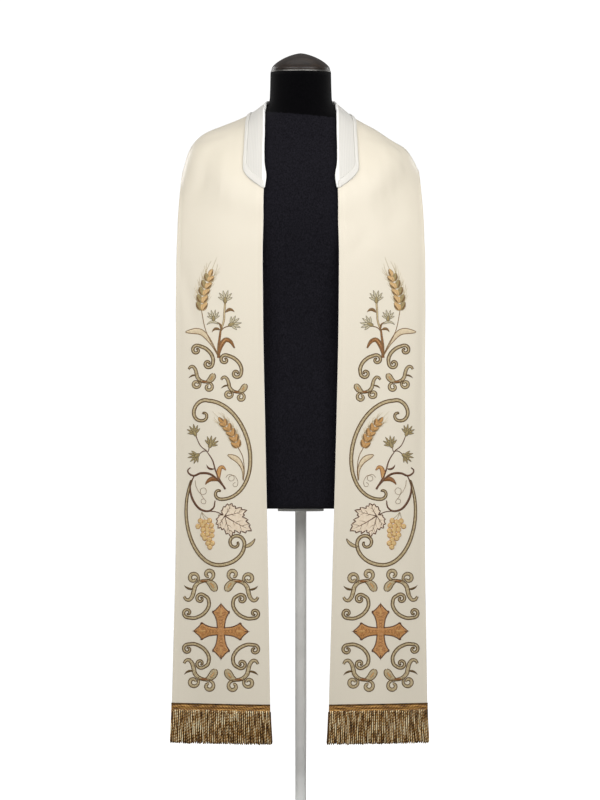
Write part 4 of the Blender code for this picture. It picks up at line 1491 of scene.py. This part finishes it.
def sew_half(side, cloth, satin, lining):
    """A half of the stole: satin outside, lining inside, and softly rounded edges."""
    bm = bmesh.new()
    rows = [[cloth.on_its_side(point) for point in row] for row in cloth.rows]
    marks = [[(width, place) for width in widths] for place, widths in zip(cloth.places, cloth.widths)]
    faces = lay_grid(bm, rows, marks)
    if cloth.sign > 0:
        bmesh.ops.reverse_faces(bm, faces=faces)
    half = finished(f"stole_cloth_{side}", bm, (lining, satin), f"stole_{side}")
    wall = thicken(half, CLOTH)
    wall.material_offset = 1
    wall.material_offset_rim = 1
    soften(half, radius=0.9, segments=3, sharpest=50)
    return half


# ---- the washable collar strip -------------------------------------------------------------------
def neck_rows(cloth, layout):
    """The rows of a strip down the neck edge of a half, from the centre back.

    Each says how far it lies along the half, along the edge, and from the strip's end.
    """
    edge = running_total([row[0] for row in cloth.rows], gap)
    below = next(i for i, row in enumerate(cloth.rows) if row[0].y < 0 and row[0].z < COLLAR_END_Z)
    above = cloth.rows[below - 1][0].z
    share = (above - COLLAR_END_Z) / (above - cloth.rows[below][0].z)
    end = edge[below - 1] + (edge[below] - edge[below - 1]) * share
    corner = end - CORNER_LENGTH
    count = layout.at_once * round(corner / (layout.at_once * layout.step))
    stops = [corner * k / count for k in range(count)]
    for k in range(layout.corner_steps + 1):
        stops.append(corner + CORNER_LENGTH * layout.reach * k / layout.corner_steps)
    found = []
    for stop in stops:
        k, part_way = span_of(edge, stop)
        found.append((cloth.places[k] + (cloth.places[k + 1] - cloth.places[k]) * part_way, stop, end - stop))
    return found


def lay_round_neck(cloths, layout, across):
    """A grid round the whole neck edge, from the right half's end over the centre back to the left's."""
    rows, marks = [], []
    for side in ("right", "left"):
        cloth = cloths[side]
        half = []
        for number, (place, stop, to_end) in enumerate(neck_rows(cloth, layout)):
            row = across(cloth, number, place, to_end)
            half.append(([cloth.on_its_side(point) for point, _ in row],
                         [(out, cloth.sign * stop) for _, out in row]))
        if side == "right":
            half = half[:0:-1]
        else:
            for point in half[0][0]:
                point.x = 0
        rows += [points for points, _ in half]
        marks += [spots for _, spots in half]
    bm = bmesh.new()
    lay_grid(bm, rows, marks)
    return bm


def flap_width(to_end):
    """How wide the flap is at a distance from its rounded lower end."""
    into_corner = max(0.0, 1 - to_end / CORNER_LENGTH)
    return COLLAR_WIDTH * (1 - into_corner ** CORNER_POWER)


def droop(from_outer_edge):
    """How far the flap lies under its own height, close to its outer edge."""
    return FLAP_DROOP * max(0.0, 1 - from_outer_edge / DROOP_WIDTH) ** 2


def across_strip(cloth, _, place, to_end):
    """The strip's inner face at one place, from the leg behind the cloth to the flap's outer edge."""
    over, under = CLOTH + COLLAR_LIFT, -COLLAR_LIFT
    reach = FOLD_REACH + FOLD_BULGE * bell(to_end, BULGE_FROM_END, BULGE_HALF)
    middle, radius = (over + under) / 2, (over - under) / 2
    row = [(cloth.at(place, COLLAR_LEG, under), -COLLAR_LEG - FOLD_MARK)]
    for degrees in range(-90, 91, 15):
        turn = math.radians(degrees)
        rounding = cloth.at(place, -reach * math.cos(turn), middle + radius * math.sin(turn))
        row.append((rounding, FOLD_MARK * (degrees - 90) / 180))
    wide = flap_width(to_end)
    for column in range(1, FLAP_COLUMNS + 1):
        out = wide * column / FLAP_COLUMNS
        rib = RIB_HEIGHT * (1 + math.cos(2 * math.pi * out / RIB_PITCH)) / 2
        fade = min(1.0, out / RIB_FADE_IN, max(0.0, wide - out) / RIB_FADE_OUT)
        row.append((cloth.at(place, out, over + rib * fade - droop(wide - out)), out))
    return row


def across_tape(cloth, number, place, to_end):
    """The lace tape's upper face at one place, with a tooth every few millimetres along its outer edge."""
    tooth = POINT_DEPTH * abs((number % TAPE_ROWS.at_once) / 2 - 1)
    wide = flap_width(to_end)
    inner = max(0.0, min(wide, flap_width(max(0.0, to_end - EDGING_WIDTH)) - EDGING_WIDTH))
    outer = wide - EDGING_INSET + tooth
    row = []
    for column in range(TAPE_COLUMNS + 1):
        share = column / TAPE_COLUMNS
        out = inner + (outer - inner) * share
        ridge = EDGING_HEIGHT * math.sin(math.pi * min(1, share / EDGING_RISE) / 2)
        ridge *= 1 - GROOVE_DEPTH * bell(share, GROOVE_AT, GROOVE_HALF)
        sunk = EDGING_SUNK * max(0.0, 1 - share / EDGING_SEWN) ** 2
        lift = CLOTH + COLLAR_LIFT + COLLAR_CLOTH + EDGING_LIFT + ridge - sunk - droop(wide - out)
        row.append((cloth.at(place, out, lift), out))
    return row


def sew_collar(cloths, pique, tape):
    """One strip folded over the whole neck edge, and the toothed lace tape along its flap."""
    bm = lay_round_neck(cloths, STRIP_ROWS, across_strip)
    strip = finished("collar_cotton", bm, (pique,), "collar_strip")
    thicken(strip, COLLAR_CLOTH)
    soften(strip, radius=0.3, segments=2, sharpest=55)
    bm = lay_round_neck(cloths, TAPE_ROWS, across_tape)
    lace = finished("collar_lace_tape", bm, (tape,))
    thicken(lace, EDGING_CLOTH, offset=-1, even=False)
    return strip, lace


# ---- the fringes ---------------------------------------------------------------------------------
def heading_relief(down, out):
    """The heading's height at a share of the way down it: two twisted cords and a plait between."""
    turns = out / GIMP_PITCH
    if down < CORD_SHARE or down > 1 - CORD_SHARE:
        half = CORD_SHARE / 2
        middle, slant = (half, 1.0) if down < 0.5 else (1 - half, -1.0)
        round_cord = math.sqrt(max(0.0, 1 - ((down - middle) / half) ** 2))
        return round_cord * (0.92 + 0.08 * math.cos(2 * math.pi * (turns + slant * down * 1.5)))
    waist = math.sin(math.pi * (down - CORD_SHARE) / (1 - 2 * CORD_SHARE))
    return waist ** 0.5 * (0.52 + 0.16 * abs(math.cos(math.pi * (turns / 1.6 + abs(4 * down - 2)))))


def sew_heading(bm, cloth):
    """The braided heading over the hem, from its top down, with its top rows painted darker as shade along
    its top.
    """
    hem, width = cloth.places[-1], cloth.widths[-1][-1]
    outs = [width * column / HEADING_COLUMNS for column in range(HEADING_COLUMNS + 1)]
    rows, marks = [], []
    for step in range(HEADING_ROWS + 1):
        down = step / HEADING_ROWS
        below = -HEADING_HEIGHT + (HEADING_HEIGHT - HEADING_FOOT) * down
        row = []
        for out in outs:
            lift = CLOTH + HEADING_LIFT + HEADING_CLOTH * (HEADING_GROUND + heading_relief(down, out))
            row.append(cloth.on_its_side(cloth.at(hem + below, out, lift)))
        rows.append(row)
        marks.append([(below, out) for out in outs])
    heading = lay_grid(bm, rows, marks, GIMP)
    # Painted shade: the top rows take the dark cord's finish.
    for face in heading[:TOP_CORD_ROWS * HEADING_COLUMNS]:
        face.material_index = PAINTED_SHADE_CORD
    if cloth.sign > 0:
        bmesh.ops.reverse_faces(bm, faces=heading)
    bm.normal_update()
    bmesh.ops.solidify(bm, geom=heading, thickness=HEADING_BACK * HEADING_CLOTH * MM)


def sew_fringe(side, cloth, trims):
    """The heading, and the twisted cords that hang from under it."""
    bm = bmesh.new()
    sew_heading(bm, cloth)
    pitch = cloth.widths[-1][-1] / STRANDS
    for number in range(STRANDS):
        for row in (FRONT_CORDS, BACK_CORDS) if number % 2 else (MIDDLE_CORDS,):
            hang_cord(bm, cloth, (number + 0.5) * pitch, number, row)
    for face in bm.faces:
        face.smooth = True
    bmesh.ops.recalc_face_normals(bm, faces=bm.faces)
    return finished(f"bullion_fringe_{side}", bm, trims, f"fringe_{side}")


def hang_cord(bm, cloth, out, number, row):
    """One twisted cord of the fringe, which hangs a little unlike its neighbours.

    The factors in its seeds only set the noise of cords, rows and sides apart, and its marks lie
    apart from the other cords' marks, so that no two have quite one tone.
    """
    seed = Vector((number * 0.73, 4.1 * cloth.sign, row.over_face * 0.4))
    length = row.over_hem + STRAND_LENGTH - STRAND_UNEVEN * (0.5 + noise.noise(seed * 3.1))
    root = cloth.on_its_side(cloth.at(cloth.places[-1] - row.over_hem, out, CLOTH + row.over_face))
    bunch = row.lean * BUNCH * noise.noise(Vector((out / BUNCH_WIDTH, 7.7 * cloth.sign, row.over_face)))
    lean = cloth.sign * (FRINGE_FLARE * (2 * out / cloth.widths[-1][-1] - 1) + bunch)
    wave = noise.noise(seed + Vector((9, 0, 0)))
    angles = [2 * math.pi * side / STRAND_SIDES for side in range(STRAND_SIDES + 1)]
    rings, marks = [], []
    for ring in range(STRAND_RINGS + 1):
        down = ring / STRAND_RINGS
        centre = root + Vector((
            lean * down ** STRAND_CURVE + STRAND_SWAY * wave * math.sin(math.pi * down * STRAND_SWAYS),
            STRAND_WANDER * noise.noise(seed * 2 + Vector((0, 2.5 * down, 0))) * math.sqrt(down),
            -length * down,
        ))
        radius = row.radius * (STRAND_TIP if ring == STRAND_RINGS else 1.0)
        rings.append([centre + Vector((math.cos(angle), math.sin(angle), 0)) * radius for angle in angles])
        marks.append([(number * 7.3 + row.radius * angle, length * down + 190 * wave) for angle in angles])
    faces = lay_grid(bm, rings, marks, row.finish)
    verts = list(dict.fromkeys(vert for face in faces for vert in face.verts))
    bmesh.ops.remove_doubles(bm, verts=verts, dist=2 * WELD)
    tips = [edge for vert in verts if vert.is_valid for edge in vert.link_edges if edge.is_boundary]
    bmesh.ops.holes_fill(bm, edges=list(dict.fromkeys(tips)), sides=0)


# ---- floor, light and camera ---------------------------------------------------------------------
ROOM_PROFILE = (Turn(0, -1), Turn(14000, -1), Turn(16400, 600), Turn(17500, 2600), Turn(17500, 12000),
                Turn(14000, 16000), Turn(8000, 18500), Turn(0, 19500))
ROOM_STEPS = 72


def make_room(paper):
    """A white floor that sweeps up into a seamless room of paper, seen by the camera alone."""
    bm = turned(ROOM_PROFILE, ROOM_STEPS)
    bmesh.ops.reverse_faces(bm, faces=bm.faces)
    room = made_of("white_floor", bm, (paper,))
    room.visible_diffuse = False
    room.visible_glossy = False
    room.visible_transmission = False
    room.visible_shadow = False


# One row for each soft box: where it stands, what it points at, its width and height, and watts.
SoftBox = namedtuple("SoftBox", "name x y z at_x at_y at_z width height watts")
SOFT_BOXES = (
    SoftBox("key", 1200, -2000, 2100, 0, 0, 1300, 2200, 1600, 46),
    SoftBox("fill", -1400, -2000, 2100, 0, 0, 1300, 2200, 1600, 41),
    SoftBox("top", 0, 300, 3300, 0, 0, 1300, 1600, 1200, 4),
    SoftBox("back_left", -2400, 2600, 1900, 0, 0, 1000, 1600, 1800, 42),
    SoftBox("back_right", 2500, 2500, 1700, 0, 0, 1000, 1600, 1800, 30),
)
ROOM_LIGHT = 0.23


def make_lights():
    """An even pale studio with soft boxes in front, above and behind, which the camera doesn't see."""
    world = bpy.data.worlds.new("studio")
    bpy.context.scene.world = world
    world.use_nodes = True
    background = world.node_tree.nodes["Background"]
    background.inputs["Color"].default_value = linear("ffffff")
    background.inputs["Strength"].default_value = ROOM_LIGHT
    for box in SOFT_BOXES:
        data = bpy.data.lights.new(box.name, "AREA")
        data.shape = "RECTANGLE"
        data.size = box.width * MM
        data.size_y = box.height * MM
        data.energy = box.watts
        lamp = stand_up(box.name, data)
        place = mm(box.x, box.y, box.z)
        lamp.location = place
        lamp.rotation_euler = (mm(box.at_x, box.at_y, box.at_z) - place).to_track_quat("-Z", "Y").to_euler()
        lamp.visible_camera = False


def make_camera():
    """A long lens at the height of the stole's middle, square to the front."""
    data = bpy.data.cameras.new("front")
    data.sensor_fit = "VERTICAL"
    data.sensor_height = SENSOR
    data.lens = SENSOR * (CAMERA_AWAY - SEEN_AT) / SEEN_HEIGHT
    data.clip_end = CAMERA_REACH * MM
    camera = stand_up("front", data)
    camera.location = mm(CAMERA_ASIDE, -CAMERA_AWAY, CAMERA_HEIGHT)
    camera.rotation_euler = (math.radians(90), 0, 0)
    bpy.context.scene.camera = camera
    bpy.context.scene.view_settings.view_transform = "Standard"


# ---- putting it together -------------------------------------------------------------------------
def surface_of(node):
    """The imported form's surface, in millimetres, for the cloth to rest on."""
    mesh = node.data
    return BVHTree.FromPolygons([vert.co / MM for vert in mesh.vertices],
                                [tuple(face.vertices) for face in mesh.polygons])


make_camera()
make_lights()
make_room(make_paper())

jersey = make_jersey("cotton_jersey_black", "0c0b10", "1d1c22", 0.06)
neck_knit = make_jersey("rib_knit_neck_cover_black", "020203", "060507", 0.03)
lacquer = make_lacquer()
form = make_form(jersey, neck_knit)
make_turned("cap_band", RIM_PROFILE, make_steel(), "cap_rim", NECK_MIDDLE)
make_turned("cap", cap_profile(), make_walnut(), "neck_cap", NECK_MIDDLE)
make_turned("plate", PLATE_PROFILE, lacquer, "stand_plate")
make_turned("pole", POLE_PROFILE, lacquer, "stand_pole")
make_turned("base", BASE_PROFILE, lacquer, "stand_base")

form_surface = surface_of(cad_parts["form_torso"])
cloths = {side: Cloth(side, form_surface) for side in HANGS}
satin = make_satin("duchess_satin_cream", "ebe5da", "f5f0e7")
lining = make_lining()
bullion = make_bullion("antique_gold_bullion_cord", CORD_TONES)
gimp = make_bullion("antique_gold_gimp_braid", GIMP_TONES)
shade_cord = make_painted_shade_cord()
threads = [make_thread(name, THREADS[name]) for name in THREAD_NAMES]
for side, cloth in cloths.items():
    half = sew_half(side, cloth, satin, lining)
    fringe = sew_fringe(side, cloth, (bullion, shade_cord, gimp))
    work = embroider(side, cloth, threads)
    across = [widths[-1] for widths in cloth.widths]
    steps = [after - before for before, after in zip(cloth.places, cloth.places[1:])]
    area = sum(step * (a + b) / 2 for step, a, b in zip(steps, across, across[1:]))
strip, lace = sew_collar(cloths, make_pique(), make_lace_tape())
_, last_stop, to_end = neck_rows(cloths["left"], STRIP_ROWS)[-1]
